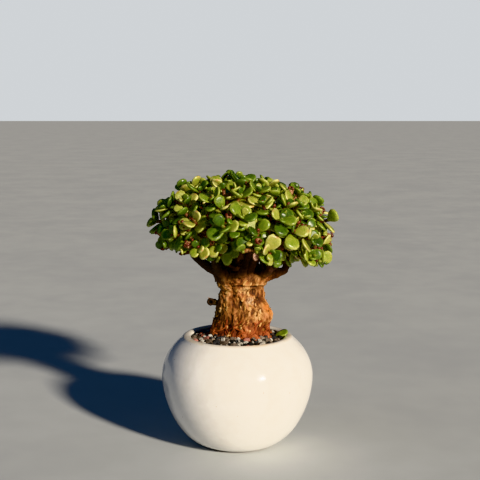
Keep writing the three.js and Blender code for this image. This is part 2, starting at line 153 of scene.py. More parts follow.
pot_outside = belly_rings(0, 0, 16)[1:] + shoulder_rings(0, LIP_START, 9)
pot_inside = belly_rings(WALL, FLOOR_THICKNESS, 8) + shoulder_rings(WALL, LIP_START, 7)
lip_out, lip_in = pot_outside[-1][0], pot_inside[-1][0]
lip_middle, lip_half = (lip_out + lip_in) / 2, (lip_out - lip_in) / 2
lip_turns = [math.pi * i / 8 for i in range(1, 8)]
lip = [(lip_middle + lip_half * math.cos(a) * (1 - LIP_BEND * math.sin(a)),
        LIP_START + (POT_HEIGHT - LIP_START) * math.sin(a) ** 0.8) for a in lip_turns]
foot_ring = [(FOOT_RADIUS - FOOT_RING_WIDTH, FOOT_HOLLOW),
             (FOOT_RADIUS - 0.86 * FOOT_RING_WIDTH, 0.1 * MM),
             (FOOT_RADIUS - 0.7 * FOOT_RING_WIDTH, 0),
             (FOOT_RADIUS - 0.3 * FOOT_RING_WIDTH, 0),
             (FOOT_RADIUS, 0.35 * MM)]
pot_rings = [(POT_CENTRE, FOOT_HOLLOW)] + foot_ring + pot_outside + lip + pot_inside[::-1]
pot = throw_rings("glazed_pot", pot_rings + [(POT_CENTRE, FLOOR_THICKNESS)], POT_SIDES)
apply_modifier(pot, "SUBSURF", levels=1, render_levels=1)
relief(pot, "CLOUDS", 34 * MM, 0.5 * MM)
THUMB_MARKS = [  # where the potter's hand left a shallow dent: place, half width and depth in mm
    ((-42, -18, 46), 5, 0.6), ((-43, -15, 36), 6, 0.7), ((-41, -20, 28), 4, 0.4),
    ((30, 34, 40), 7, 0.5), ((-4, 45, 33), 6, 0.4)]
for vertex in pot.data.vertices:
    outwards = Vector((vertex.co.x, vertex.co.y, 0)).normalized()
    for mark, half_width, depth in THUMB_MARKS:
        nearness = math.exp(-((vertex.co / MM - Vector(mark)).length / half_width) ** 2)
        vertex.co -= outwards * depth * MM * nearness
    vertex.co.z = max(vertex.co.z, 0)


def paint(code):
    """A colour from its six hex digits, as light values."""
    shares = [int(code[i:i + 2], 16) / 255 for i in (0, 2, 4)]
    return tuple(((v + 0.055) / 1.055) ** 2.4 if v > 0.04045 else v / 12.92 for v in shares) + (1,)


def add_node(tree, kind, inputs=None, **settings):
    """Adds a node: settings are its own, and each input is a value or the socket that feeds it."""
    made = tree.nodes.new(kind)
    for name, value in settings.items():
        setattr(made, name, value)
    for name, value in (inputs or {}).items():
        if isinstance(value, bpy.types.NodeSocket):
            tree.links.new(value, made.inputs[name])
        else:
            made.inputs[name].default_value = value
    return made


def math_node(tree, operation, a, b=0.0):
    """The result of a sum on one or two values."""
    return add_node(tree, "ShaderNodeMath", {0: a, 1: b}, operation=operation).outputs[0]


def mix_paint(tree, share, a, b):
    """A colour between two, the first where the share is 0 and the second where it is 1."""
    return add_node(tree, "ShaderNodeMix", {0: share, 6: a, 7: b}, data_type="RGBA").outputs[2]


def span(tree, value, low, high, to_low=0.0, to_high=1.0):
    """Stretches a value's range to another, with smooth ends."""
    return add_node(tree, "ShaderNodeMapRange",
                    {"Value": value, "From Min": low, "From Max": high,
                     "To Min": to_low, "To Max": to_high},
                    interpolation_type="SMOOTHSTEP").outputs[0]


def paints(tree, share, *stops):
    """A colour for each share from 0 to 1, through (share, colour) stops."""
    ramp = add_node(tree, "ShaderNodeValToRGB", {"Fac": share})
    elements = ramp.color_ramp.elements
    elements[0].position, elements[0].color = stops[0][0], paint(stops[0][1])
    elements[1].position, elements[1].color = stops[-1][0], paint(stops[-1][1])
    for place, code in stops[1:-1]:
        elements.new(place).color = paint(code)
    return ramp.outputs["Color"]


def blend(tree, a, share_a, b, share_b):
    """The sum of two values, each taken at its share."""
    both = math_node(tree, "MULTIPLY_ADD", a, share_a)
    tree.links.new(math_node(tree, "MULTIPLY", b, share_b), both.node.inputs[2])
    return both


def in_mm(tree, place, axis):
    """How far along an axis a place is, in millimetres."""
    parts = add_node(tree, "ShaderNodeSeparateXYZ", {0: place})
    return math_node(tree, "DIVIDE", parts.outputs[axis], MM)


def new_group(name, inputs):
    """A node group that reads a place and some values, and puts out a mask and a height."""
    group = bpy.data.node_groups.new(name, "ShaderNodeTree")
    group.interface.new_socket("Place", in_out="INPUT", socket_type="NodeSocketVector")
    for socket, value in inputs.items():
        made = group.interface.new_socket(socket, in_out="INPUT", socket_type="NodeSocketFloat")
        made.default_value = value
    for socket in ("Mask", "Height"):
        group.interface.new_socket(socket, in_out="OUTPUT", socket_type="NodeSocketFloat")
    return group


# Uneven patches of two sizes, as in glaze, bark, stone and skin.
mottle = new_group("mottle", {"Grain": 100.0, "Warp": 0.3})
mottle_in = mottle.nodes.new("NodeGroupInput").outputs
broad = add_node(mottle, "ShaderNodeTexNoise",
                 {"Vector": mottle_in["Place"], "Scale": mottle_in["Grain"],
                  "Distortion": mottle_in["Warp"], "Detail": 4.0, "Roughness": 0.6})
fine_grain = math_node(mottle, "MULTIPLY", mottle_in["Grain"], 5.5)
fine = add_node(mottle, "ShaderNodeTexNoise",
                {"Vector": mottle_in["Place"], "Scale": fine_grain, "Detail": 3.0})
both = blend(mottle, fine.outputs[0], 0.35, broad.outputs[0], 0.65)
mottle_out = mottle.nodes.new("NodeGroupOutput").inputs
mottle.links.new(span(mottle, both, 0.33, 0.67), mottle_out["Mask"])
mottle.links.new(both, mottle_out["Height"])


def new_material(name, **shader_values):
    """A material with the values that are the same all over it, and the place that patterns read."""
    material = bpy.data.materials.new(name)
    material.use_nodes = True
    tree = material.node_tree
    shader = tree.nodes["Principled BSDF"]
    for socket, value in shader_values.items():
        shader.inputs[socket.replace("_", " ")].default_value = value
    place = add_node(tree, "ShaderNodeTexCoord").outputs["Object"]
    return material, tree, shader, place


def mottled(tree, place, grain, warp=0.3):
    """The mask and the height of uneven patches: a higher grain makes them smaller."""
    return add_node(tree, "ShaderNodeGroup", {"Place": place, "Grain": grain, "Warp": warp},
                    node_tree=mottle).outputs


def finish_shader(tree, shader, colour, roughness, height, depth):
    """Feeds the shader its colour and roughness, and a relief of that depth."""
    bump = add_node(tree, "ShaderNodeBump", {"Height": height, "Strength": 1.0, "Distance": depth})
    tree.links.new(colour, shader.inputs["Base Color"])
    tree.links.new(roughness, shader.inputs["Roughness"])
    tree.links.new(bump.outputs[0], shader.inputs["Normal"])


def finish_grained(tree, shader, colour, grain, least, most, depth):
    """Finishes a shader whose roughness, from least to most, and whose relief follow one grain."""
    roughness = span(tree, grain["Height"], 0.3, 0.7, least, most)
    finish_shader(tree, shader, colour, roughness, grain["Height"], depth)


glaze, tree, shader, place = new_material(
    "white_glaze", IOR=1.5, Coat_Weight=0.35, Coat_Roughness=0.04)
height_mm = in_mm(tree, place, "Z")
milky = mottled(tree, place, 42.0, 0.8)
body_colour = paints(tree, milky["Mask"], (0, "efebe4"), (0.5, "f3f0ea"), (1, "f7f4ef"))
lip_wear = math_node(tree, "MULTIPLY", span(tree, height_mm, 64.2, 65.5), milky["Mask"])
lip_colour = mix_paint(tree, lip_wear, body_colour, paint("e2d3b8"))
specks = add_node(tree, "ShaderNodeTexVoronoi", {"Vector": place, "Scale": 210.0})
speck_mask = math_node(tree, "MULTIPLY", span(tree, specks.outputs["Distance"], 0.075, 0.045),
                       span(tree, milky["Mask"], 0.55, 0.8))
speckled = mix_paint(tree, speck_mask, lip_colour, paint("b59b7b"))
bare_foot = span(tree, height_mm, 1.0, 0.5)
clay = mottled(tree, place, 900.0)
clay_colour = paints(tree, clay["Mask"], (0, "a98a68"), (1, "cdb393"))
foot_colour = mix_paint(tree, bare_foot, speckled, clay_colour)
gloss = span(tree, milky["Height"], 0.3, 0.7, 0.1, 0.2)
foot_gloss = math_node(tree, "MAXIMUM", gloss, math_node(tree, "MULTIPLY", bare_foot, 0.8))
wheel_rings = add_node(tree, "ShaderNodeTexWave", {"Vector": place, "Scale": 62.0, "Distortion": 1.5,
                                                   "Detail": 2.0, "Detail Scale": 0.6},
                       bands_direction="Z")
orange_peel = add_node(tree, "ShaderNodeTexNoise", {"Vector": place, "Scale": 420.0, "Detail": 2.0})
glaze_height = blend(tree, wheel_rings.outputs["Fac"], 0.35, orange_peel.outputs[0], 1.0)
finish_shader(tree, shader, foot_colour, foot_gloss, glaze_height, 0.05 * MM)
pot.data.materials.append(glaze)
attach(pot, "root")
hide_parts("pot")

# ---- Soil bed ----
# The fine part of a bonsai mix, firmed into the pot and heaped a little towards the trunk.
SOIL_EDGE_HEIGHT = 62 * MM
SOIL_HEAP = 5.6 * MM
SOIL_FRONT_RISE = 0.6 * MM
SOIL_RADIUS = 29 * MM
SOIL_SINK = 0.9 * MM
SOIL_SIDES = 96
GAP = 0.3 * MM


def soil_height(x, y):
    """The top of the heap, which rises to the trunk and to the front."""
    near = 1 - (x * x + y * y) / SOIL_RADIUS ** 2
    return SOIL_EDGE_HEIGHT + SOIL_HEAP * near - SOIL_FRONT_RISE * y / SOIL_RADIUS


soil_wall = (belly_rings(WALL + GAP, FLOOR_THICKNESS + GAP, 8)
             + shoulder_rings(WALL + GAP, SOIL_EDGE_HEIGHT, 6))
soil_top = [(radius * MM, SOIL_EDGE_HEIGHT + 0.1 * MM * step)
            for step, radius in enumerate((29, 28, 27, 26, 25, 24, 23, 22, 21, 20, 19, 17, 14, 8))]
soil_base = [(POT_CENTRE, FLOOR_THICKNESS + GAP)]
soil = throw_rings("soil_bed", soil_base + soil_wall + soil_top, SOIL_SIDES)
for vertex in soil.data.vertices:
    if vertex.co.z > SOIL_EDGE_HEIGHT - 0.01 * MM:
        vertex.co.z = soil_height(vertex.co.x, vertex.co.y) - SOIL_SINK
soil_surface = soil.vertex_groups.new(name="soil_surface")
soil_surface.add([v.index for v in soil.data.vertices if v.co.z > SOIL_EDGE_HEIGHT - 2 * MM
                  and math.hypot(v.co.x, v.co.y) < SOIL_RADIUS + 0.5 * MM], 1, "REPLACE")
relief(soil, "CLOUDS", 1.6 * MM, 1.3 * MM, vertex_group="soil_surface")
soil.vertex_groups.clear()

loam, tree, shader, place = new_material("damp_loam", IOR=1.4)
crumbs = mottled(tree, place, 900.0, 0.8)
loam_colour = paints(tree, crumbs["Mask"], (0, "0f0b08"), (0.5, "2c221b"), (0.8, "4a3a2d"),
                     (1, "7d6a55"))
finish_grained(tree, shader, loam_colour, crumbs, 0.8, 0.95, 0.5 * MM)
soil.data.materials.append(loam)
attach(soil, "root")
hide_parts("soil")

# ---- Grit ----
# Sharp stones on top of the soil: black lava, white pumice, brown clay chips and a few red
# bits of brick, 1 to 6 mm across and packed round the roots.
GRIT_INNER_EDGE = 15 * MM
GRIT_OUTER_EDGE = 28.6 * MM
STONE_MASTERS = 4
STONE_KINDS = [  # name, share of the stones, size, and colours from hollow to ridge
    ("lava_grit", 0.4, 1.0, ("111214", "2b2d30", "55565a")),
    ("pumice_grit", 0.26, 0.95, ("6c6860", "aaa59b", "e0dcd2")),
    ("clay_grit", 0.29, 1.05, ("3f3731", "75695f", "a6998c")),
    ("brick_grit", 0.05, 1.15, ("5c332d", "8f5a50", "b58378"))]
STONE_SIZES = [  # half width in millimetres, how many are wanted, and lift in millimetres
    (2.15, 60, 0.2), (1.7, 150, 0.35), (1.25, 260, 0.5), (0.8, 300, 0.75)]
STONE_TRIES = 12
STONE_CUTS = 4
STONE_SPACING = 0.74
STONE_SINK = 0.3 * MM
stone_rng = random.Random(11)


def chip_stone(name):
    """A stone at the origin, 2 mm across: a ball that is cut by planes and then roughened."""
    bpy.ops.object.select_all(action="DESELECT")
    bpy.ops.mesh.primitive_ico_sphere_add(subdivisions=2, radius=MM)
    stone = new_piece(name)
    work_on(stone, "EDIT")
    for _ in range(STONE_CUTS):
        normal = Vector([stone_rng.uniform(-1, 1) for _ in range(3)]).normalized()
        bpy.ops.mesh.select_all(action="SELECT")
        bpy.ops.mesh.bisect(plane_co=normal * stone_rng.uniform(0.55, 0.8) * MM, plane_no=normal,
                            clear_outer=True, use_fill=True)
    tidy_surface(stone, smooth=False)
    apply_modifier(stone, "DECIMATE", ratio=0.55)
    relief(stone, "CLOUDS", 0.7 * MM, 0.35 * MM)
    bpy.ops.object.shade_smooth_by_angle(angle=math.radians(38))
    return stone


def carried(tree, name):
    """A value that a piece carries at each of its points."""
    return add_node(tree, "ShaderNodeAttribute", attribute_name=name).outputs["Fac"]


def stone_material(name, hollow, middle, ridge_code):
    """Dull, pitted stone, from the colour of its hollows to that of its ridges."""
    material, tree, shader, place = new_material(name, IOR=1.45, Specular_IOR_Level=0.35)
    pores = add_node(tree, "ShaderNodeTexVoronoi", {"Vector": place, "Scale": 1700.0})
    grain = mottled(tree, place, 800.0, 0.4)
    shade = blend(tree, grain["Mask"], 0.45, carried(tree, "tone"), 0.5)
    colour = paints(tree, shade, (0.05, hollow), (0.5, middle), (0.92, ridge_code))
    height = math_node(tree, "MULTIPLY", grain["Height"],
                       span(tree, pores.outputs["Distance"], 0.1, 0.5))
    finish_shader(tree, shader, colour, span(tree, grain["Height"], 0.3, 0.7, 0.75, 0.95),
                  height, 0.25 * MM)
    return material


def keep_share(piece, name, shares):
    """Stores a value for each vertex that a material or a modifier reads."""
    stored = piece.data.attributes.new(name, "FLOAT", "POINT")
    stored.data.foreach_set("value", np.asarray(shares, dtype=np.float32))


def copy_to(master, matrix, tone):
    """A copy of a master with its own mesh, placed by a matrix, and with a tone that colours read."""
    mesh = master.data.copy()
    mesh.transform(matrix)
    copy = bpy.data.objects.new(master.name, mesh)
    bpy.context.scene.collection.objects.link(copy)
    keep_share(copy, "tone", np.full(len(mesh.vertices), tone))
    return copy


def join(name, pieces):
    """Joins pieces into the first one."""
    work_on(pieces[0])
    for piece in pieces:
        piece.select_set(True)
    bpy.ops.object.join()
    return new_piece(name)


def lay_stones():
    """Places and half widths of stones that lie beside and partly on each other, largest first."""
    laid = []
    for half_width, wanted, lift in STONE_SIZES:
        for _ in range(wanted * STONE_TRIES):
            if not wanted:
                break
            turn = stone_rng.uniform(0, 2 * math.pi)
            share = stone_rng.random()
            r = math.sqrt(GRIT_INNER_EDGE ** 2 * (1 - share) + GRIT_OUTER_EDGE ** 2 * share)
            size = half_width * stone_rng.uniform(0.85, 1.2) * MM
            r = min(r, GRIT_OUTER_EDGE - size * 0.6)
            x, y = r * math.cos(turn), r * math.sin(turn)
            if all(math.hypot(x - a, y - b) > (size + c) * STONE_SPACING for a, b, _, c in laid):
                z = soil_height(x, y) - STONE_SINK + (lift + stone_rng.uniform(-0.2, 0.35)) * MM
                laid.append((x, y, z, size))
                wanted -= 1
    return laid


stone_masters = [chip_stone(f"stone_{i}") for i in range(STONE_MASTERS)]
stone_kinds = {name: [] for name, *_ in STONE_KINDS}
for x, y, z, size in lay_stones():
    name, _, scale, _ = stone_rng.choices(STONE_KINDS, [kind[1] for kind in STONE_KINDS])[0]
    turned = Matrix.Rotation(stone_rng.uniform(0, 2 * math.pi), 4, "Z")
    turned @= Matrix.Rotation(stone_rng.uniform(-0.6, 0.6), 4, "X")
    flat = Matrix.Diagonal((stone_rng.uniform(0.9, 1.25), stone_rng.uniform(0.8, 1.05),
                            stone_rng.uniform(0.65, 0.9), 1))
    matrix = Matrix.Translation((x, y, z)) @ turned @ flat @ Matrix.Scale(size / MM * scale, 4)
    stone_kinds[name].append(copy_to(stone_rng.choice(stone_masters), matrix, stone_rng.random()))
for name, _, _, codes in STONE_KINDS:
    stones = join(name, stone_kinds[name])
    stones.data.materials.append(stone_material(f"{name}_stone", *codes))
    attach(stones, "root")
for master in stone_masters:
    bpy.data.objects.remove(master)

# ---- Trunk and limbs ----
# The jade's old stem and limbs: soft, swollen wood under papery bark, made thick by years of
# pruning. Healed branch ends stand out of it, and its roots spread into the grit.
TRUNK_SECTIONS = [  # height, sideways place of the centre, and half width, in millimetres
    (50, 1.2, 11.0), (60, 1.2, 15.4), (66, 1.4, 16.4), (72, 2.2, 16.0), (79, 3.0, 15.4),
    (88, 2.2, 13.4), (95, 2.4, 13.9), (101, 2.6, 16.4), (106, 2.6, 12.0), (110, 2.6, 4.0)]
TRUNK_SIDES = 96
TRUNK_STEPS = 60
FLARE_TOP = 82 * MM
FLARE_HEIGHT = 22 * MM
BURL_HEIGHT = 79 * MM
BURL_HALF_HEIGHT = 5 * MM
WAIST_HEIGHT = 93.2 * MM
WAIST_HALF_HEIGHT = 1.6 * MM
THICK_RADIUS = 12 * MM
FORK = Vector((2.4, 0, 97)) * MM
LIMB_END_RADIUS = 2 * MM
TWIG_RADIUS = 2.1 * MM
STEM_RADIUS = 1.35 * MM
LIMB_BENDS = [(0.12, 0), (0.42, 0.3), (0.72, 0.62), (1, 1)]  # shares of a limb's reach and rise
LIMBS = [  # compass direction in degrees, then reach, rise and half width in millimetres
    (184, 29, 17, 4.6), (-4, 27, 8, 4.0), (230, 26, 14, 4.2), (272, 24, 13, 3.8),
    (314, 26, 11, 4.0), (40, 26, 12, 4.2), (86, 25, 14, 4.2), (134, 26, 16, 4.4),
    (20, 13, 28, 4.4), (150, 15, 30, 4.6), (262, 12, 28, 4.4)]
STUBS = [  # from, to, and half width at both ends, in millimetres
    ((-8, -1.6, 84.2), (-17.2, -2.2, 86), 1.8, 2.3),
    ((12, -6, 99), (18.4, -8, 100.8), 2.6, 2.0),
    ((6, -8, 103), (10, -20.5, 114.5), 2.8, 2.2)]
STUB_SHRINK = 0.85
STUB_FLARE = 1.1
ROD_STEPS = 12
VOXEL = 0.52 * MM


class Draws:
    """Shares from 0 to 1 that look random and come out the same on every run."""

    def __init__(self, seed):
        self.seed = seed

    def share(self):
        """The next share."""
        self.seed = (self.seed * 1664525 + 1013904223) % 4294967296
        return self.seed / 4294967296

    def spread(self, amount):
        """A value from minus the amount to plus the amount."""
        return (self.share() * 2 - 1) * amount


growth = Draws(155)


def smooth_route(points, t):
    """A place at share t along a curve through the points."""
    p = (len(points) - 1) * t
    i = min(int(p), len(points) - 2)
    weight = p - i
    b, c = points[i], points[i + 1]
    a = points[i - 1] if i > 0 else 2 * b - c
    d = points[i + 2] if i + 2 < len(points) else 2 * c - b
    ab, bc, cd = ((q - p).length ** 0.5 for p, q in ((a, b), (b, c), (c, d)))
    start = ((b - a) / ab - (c - a) / (ab + bc) + (c - b) / bc) * bc
    end = ((c - b) / bc - (d - b) / (bc + cd) + (d - c) / cd) * bc
    curve = (2 * b - 2 * c + start + end) * weight ** 3
    return curve + (3 * c - 3 * b - 2 * start - end) * weight ** 2 + start * weight + b


def trunk_radius(r, z, angle):
    """Half width with root flares low down, a burl on the right, a waist and low ribs."""
    flare = min(max((FLARE_TOP - z) / FLARE_HEIGHT, 0), 1)
    roots = flare * (1.5 * math.cos(5 * angle + 0.9) + 0.8 * math.cos(3 * angle + 2))
    ribs = (0.45 * math.cos(7 * angle + 0.12 * z / MM)
            + 0.35 * math.cos(4 * angle - 0.1 * z / MM))
    burl_side = max(0, math.cos(angle + 0.35)) ** 6
    burl = 2.6 * math.exp(-(((z - BURL_HEIGHT) / BURL_HALF_HEIGHT) ** 2)) * burl_side
    waist = 0.9 * math.exp(-(((z - WAIST_HEIGHT) / WAIST_HALF_HEIGHT) ** 2))
    return r + (roots + ribs + burl - waist) * MM * min(1, r / THICK_RADIUS)


def rod(name, route, radii, sides=8):
    """A round rod along a route, with a half width at each of its points, closed at both ends."""
    curve = bpy.data.curves.new(name, "CURVE")
    curve.dimensions = "3D"
    curve.bevel_depth = 1
    curve.bevel_resolution = (sides - 4) // 2
    curve.use_fill_caps = True
    spline = curve.splines.new("POLY")
    spline.points.add(len(route) - 1)
    for point, place, radius in zip(spline.points, route, radii):
        point.co = (*place, 1)
        point.radius = radius
    made = bpy.data.objects.new(name, curve)
    bpy.context.scene.collection.objects.link(made)
    work_on(made)
    bpy.ops.object.convert(target="MESH")
    return bpy.context.object


def along(route, steps):
    """Places in even steps along a curve through a route."""
    return [smooth_route(route, i / steps) for i in range(steps + 1)]


def tapered(start, end, steps):
    """Half widths that go evenly from one to another."""
    return [start + (end - start) * i / steps for i in range(steps + 1)]


def raise_trunk():
    """The trunk's own body, a cylinder cut into levels, each widened to its section."""
    bpy.ops.object.select_all(action="DESELECT")
    bpy.ops.mesh.primitive_cylinder_add(
        vertices=TRUNK_SIDES, radius=1, depth=1, end_fill_type="NGON", location=(0, 0, 0.5))
    body = new_piece("trunk_body")
    work_on(body)
    bpy.ops.object.transform_apply(location=True)
    work_on(body, "EDIT")
    bpy.ops.mesh.select_all(action="DESELECT")
    bpy.ops.mesh.select_mode(type="EDGE")
    bpy.ops.object.mode_set(mode="OBJECT")
    for edge in body.data.edges:
        low, high = (body.data.vertices[i].co.z for i in edge.vertices)
        edge.select = abs(high - low) > 0.5
    bpy.ops.object.mode_set(mode="EDIT")
    bpy.ops.mesh.subdivide(number_cuts=TRUNK_STEPS)
    bpy.ops.mesh.select_mode(type="VERT")
    bpy.ops.object.mode_set(mode="OBJECT")
    sections = [Vector((x, r, z)) * MM for z, x, r in TRUNK_SECTIONS]
    for vertex in body.data.vertices:
        x, r, z = smooth_route(sections, min(max(vertex.co.z, 0), 1))
        angle = math.atan2(vertex.co.y, vertex.co.x)
        radius = trunk_radius(r, z, angle)
        vertex.co = (x + radius * math.cos(angle), radius * math.sin(angle), z)
    return body


def plan_limb(azimuth, reach, rise):
    """The four places that a limb passes through, from the fork outwards."""
    places = []
    for out, up in LIMB_BENDS:
        turn = math.radians(azimuth) + growth.spread(0.08)
        r = reach * out
        places.append(FORK + Vector((r * math.cos(turn), r * math.sin(turn), rise * up)) * MM)
    return places


limb_routes = [plan_limb(azimuth, reach, rise) for azimuth, reach, rise, _ in LIMBS]

# The crown's outline, a low dome that hangs lower on its right, and the sprays set out over it.
CROWN_CENTRE = Vector((3, 0, 127)) * MM
CROWN_HALF_WIDTH = 53.5 * MM
CROWN_HALF_DEPTH = 52 * MM
CROWN_DOME = 33 * MM
CROWN_SKIRT = 19 * MM
CROWN_POWER = 2.3
CROWN_TILT = Matrix.Rotation(math.radians(5.4), 3, "Y")
CROWN_LOWEST_ANGLE = math.radians(109)
SPRAY_COUNT = 28
SHOOTS = 3
STEM_LENGTH = 7 * MM
STEM_LIFT = 0.3
SHOOT_REACH = 10.5 * MM
SHOOT_SPREAD = 8.2 * MM
TIP_DEPTH = 4 * MM
DEPTH_SPREAD = 0.07
GOLDEN_ANGLE = math.pi * (3 - math.sqrt(5))


def crown_skin(polar, azimuth):
    """A place on the crown's outline, from its centre, and the way that the outline faces there."""
    share = [math.copysign(abs(v) ** (2 / CROWN_POWER), v) for v in (math.sin(polar), math.cos(polar))]
    steep = [math.copysign(abs(v) ** (CROWN_POWER - 1), v) for v in share]
    out, up = share
    height = CROWN_DOME if up > 0 else CROWN_SKIRT
    c, s = math.cos(azimuth), math.sin(azimuth)
    place = Vector((CROWN_HALF_WIDTH * out * c, CROWN_HALF_DEPTH * out * s, height * up))
    facing = Vector((steep[0] / CROWN_HALF_WIDTH * c, steep[0] / CROWN_HALF_DEPTH * s,
                     steep[1] / height)).normalized()
    return CROWN_TILT @ place, CROWN_TILT @ facing


def even_polar_angles(count):
    """Polar angles that share the crown's area out evenly."""
    steps = 240
    angles = [CROWN_LOWEST_ANGLE * i / steps for i in range(steps + 1)]
    rim = [crown_skin(angle, 0)[0] for angle in angles]
    area = [0]
    for a, b in zip(rim, rim[1:]):
        area.append(area[-1] + (a - b).length * (abs(a.x) + abs(b.x)))
    wanted = [area[-1] * (j + 0.5) / count for j in range(count)]
    return list(np.interp(wanted, area, angles))


def plan_spray(draws, polar, azimuth, depth, size=1.0):
    """One spray: its stem's start and fork, and the tip and heading of each of its shoots."""
    place, facing = crown_skin(polar, azimuth)
    outer = CROWN_CENTRE + place * (depth - DEPTH_SPREAD * draws.share())
    facing.z = max(facing.z, 0) + STEM_LIFT
    axis = facing.normalized()
    sideways = Vector((-math.sin(azimuth), math.cos(azimuth), 0))
    upward = axis.cross(sideways).normalized()
    fork = outer - axis * (TIP_DEPTH + SHOOT_REACH) * size
    turn = draws.share() * 2 * math.pi
    shoots = []
    for k in range(SHOOTS):
        a = turn + k * 2 * math.pi / SHOOTS + draws.spread(0.2)
        far = SHOOT_SPREAD * size * (1 + draws.spread(0.12))
        lean = upward * math.sin(a) + sideways * math.cos(a)
        tip = fork + axis * (SHOOT_REACH + draws.spread(1.4) * MM) * size + lean * far
        heading = ((tip - fork).normalized() + axis).normalized()
        shoots.append({"from": fork, "to": tip, "heading": heading,
                       "turn": draws.share() * math.pi})
    return {"base": fork - axis * STEM_LENGTH * size, "fork": fork, "axis": axis, "shoots": shoots}


def plan_crown_spray(polar, j):
    """The spray with this number, a golden angle round from the one before it."""
    azimuth = j * GOLDEN_ANGLE + growth.spread(0.12)
    return plan_spray(growth, polar + growth.spread(0.05), azimuth, 1)


sprays = [plan_crown_spray(polar, j) for j, polar in enumerate(even_polar_angles(SPRAY_COUNT))]

# The crown ends at a skirt that is higher at its front and on its left. In front of the newest
# stub, a gap in the leaves is kept open down to the fork, and a way for light to the stub's end.
# Both have a start, an end and a half width.
SKIRT_HEIGHT = 105.5 * MM
SKIRT_FRONT_RISE = 0.155
SKIRT_LEFT_RISE = 0.25
LEAF_GAP = (Vector((9, -26, 116)) * MM, Vector((4, -58, 115.5)) * MM, 6.5 * MM)
LIGHT_WAY = (Vector((10.5, -22, 115.5)) * MM, Vector((38, -57, 138)) * MM, 2.8 * MM)


def skirt_height(x, y):
    """The least height that leaves keep there."""
    return SKIRT_HEIGHT - SKIRT_FRONT_RISE * y - SKIRT_LEFT_RISE * np.minimum(x, 0)


def segment_gap(point, start, end):
    """How far a point is from a straight line between two others."""
    chord = end - start
    share = min(max((point - start).dot(chord) / chord.length_squared, 0), 1)
    return (point - start - chord * share).length


# Small sprays that fill the crown's skirt and its inside: lowest and highest angle from the
# top in degrees, share of the way out, size and count.
FILLER_RINGS = [(98, 108, 0.97, 0.8, 11), (84, 104, 0.74, 0.85, 8), (106, 115, 0.66, 0.8, 10),
                (40, 74, 0.68, 0.8, 6), (66, 96, 0.52, 0.75, 6)]
SKIRT_MARGIN = 2 * MM
filling = Draws(19)
filler_sprays = []
for ring, (low, high, depth, size, count) in enumerate(FILLER_RINGS):
    for j in range(count):
        azimuth = (j + 0.3 * ring + 0.1) * 2 * math.pi / count + filling.spread(0.14)
        polar = math.radians(low + (high - low) * filling.share())
        filler = plan_spray(filling, polar, azimuth, depth, size)
        fork = filler["fork"]
        clear_of_gap = segment_gap(fork, *LEAF_GAP[:2]) > 2 * LEAF_GAP[2]
        if clear_of_gap and fork.z > skirt_height(fork.x, fork.y) + SKIRT_MARGIN:
            filler_sprays.append(filler)


TWIG_STARTS = (0.6, 0.75, 0.9)  # shares of the way along a limb
TWIG_BOW = (0.12, 0.24, 0.36, 0.5, 0.64, 0.76, 0.88, 1)


def twig_route(base, axis):
    """Out of the nearest place on the outer part of a limb, in a bow, to a spray's stem."""
    starts = [(route, t) for route in limb_routes for t in TWIG_STARTS]
    route, t = min(starts, key=lambda start: (smooth_route(*start) - base).length)
    inner, start = smooth_route(route, t - 0.2), smooth_route(route, t)
    bend = base - axis * 0.45 * (start - base).length
    elbow = start + (start - inner).normalized() * 0.2 * (start - base).length
    bow = [inner, (inner + start) / 2]
    for share in TWIG_BOW:
        rest = 1 - share
        bow.append(start * rest ** 3 + elbow * 3 * rest ** 2 * share
                   + bend * 3 * rest * share ** 2 + base * share ** 3)
    return bow


# Roots that run down the flare into the grit: direction in degrees, and half width at the top.
ROOTS = [(200, 2.0), (226, 1.5), (246, 1.7), (287, 1.6), (308, 1.5), (340, 1.8),
         (12, 1.7), (48, 1.8), (85, 1.7), (118, 1.9), (155, 1.8)]
ROOT_COURSE = [  # distance from the trunk's middle line and height, in millimetres
    (12.6, 84), (14.4, 76), (15.2, 70), (16.8, 66), (19.4, 63.6), (22.4, 60.5)]
ROOT_CENTRE = 2.2
ROOT_END_RADIUS = 0.9 * MM
look = random.Random(4)


def root_route(degrees):
    """Down the flare, over the edge of the grit and into it."""
    places = []
    turn = math.radians(degrees)
    for r, z in ROOT_COURSE:
        turn += look.uniform(-0.13, 0.13)
        r += look.uniform(-0.4, 0.4)
        places.append(Vector((ROOT_CENTRE + r * math.cos(turn), r * math.sin(turn), z)) * MM)
    return along(places, ROD_STEPS)


def swollen(start, end, steps, nodes, swell):
    """Half widths along a stem that thickens at its leaf joints."""
    radii = tapered(start, end, steps)
    return [r * (1 + swell * max(0, math.cos(math.pi * nodes * i / steps)) ** 8)
            for i, r in enumerate(radii)]


wood = [raise_trunk()]
limb_collar = [1.35, 1.2, 1.08, 1.02] + [1] * (ROD_STEPS - 1)
for (_, _, _, girth), route in zip(LIMBS, limb_routes):
    root = FORK + (route[0] - FORK) * 0.2 - Vector((0, 0, 4 * MM))
    even_radii = tapered(girth * MM, LIMB_END_RADIUS, ROD_STEPS + 2)
    radii = [radius * swell for radius, swell in zip(even_radii, limb_collar)]
    wood.append(rod("limb", [root] + along(route, ROD_STEPS + 1), radii, 12))
for spray in sprays + filler_sprays:
    route = twig_route(spray["base"], spray["axis"])
    wood.append(rod("twig", route, swollen(TWIG_RADIUS, STEM_RADIUS, len(route) - 1, 5, 0.25)))
for degrees, width in ROOTS:
    radii = tapered(width * MM, ROOT_END_RADIUS, ROD_STEPS)
    wood.append(rod("root", root_route(degrees), radii))
for start, end, start_radius, end_radius in STUBS:
    route = [Vector(start) * MM, Vector(end) * MM]
    route.insert(1, route[0].lerp(route[1], 0.7))
    radii = [start_radius * STUB_FLARE, start_radius * STUB_SHRINK, end_radius * STUB_SHRINK]
    wood.append(rod("stub", route, [radius * MM for radius in radii]))
trunk = join("woody_trunk", wood)
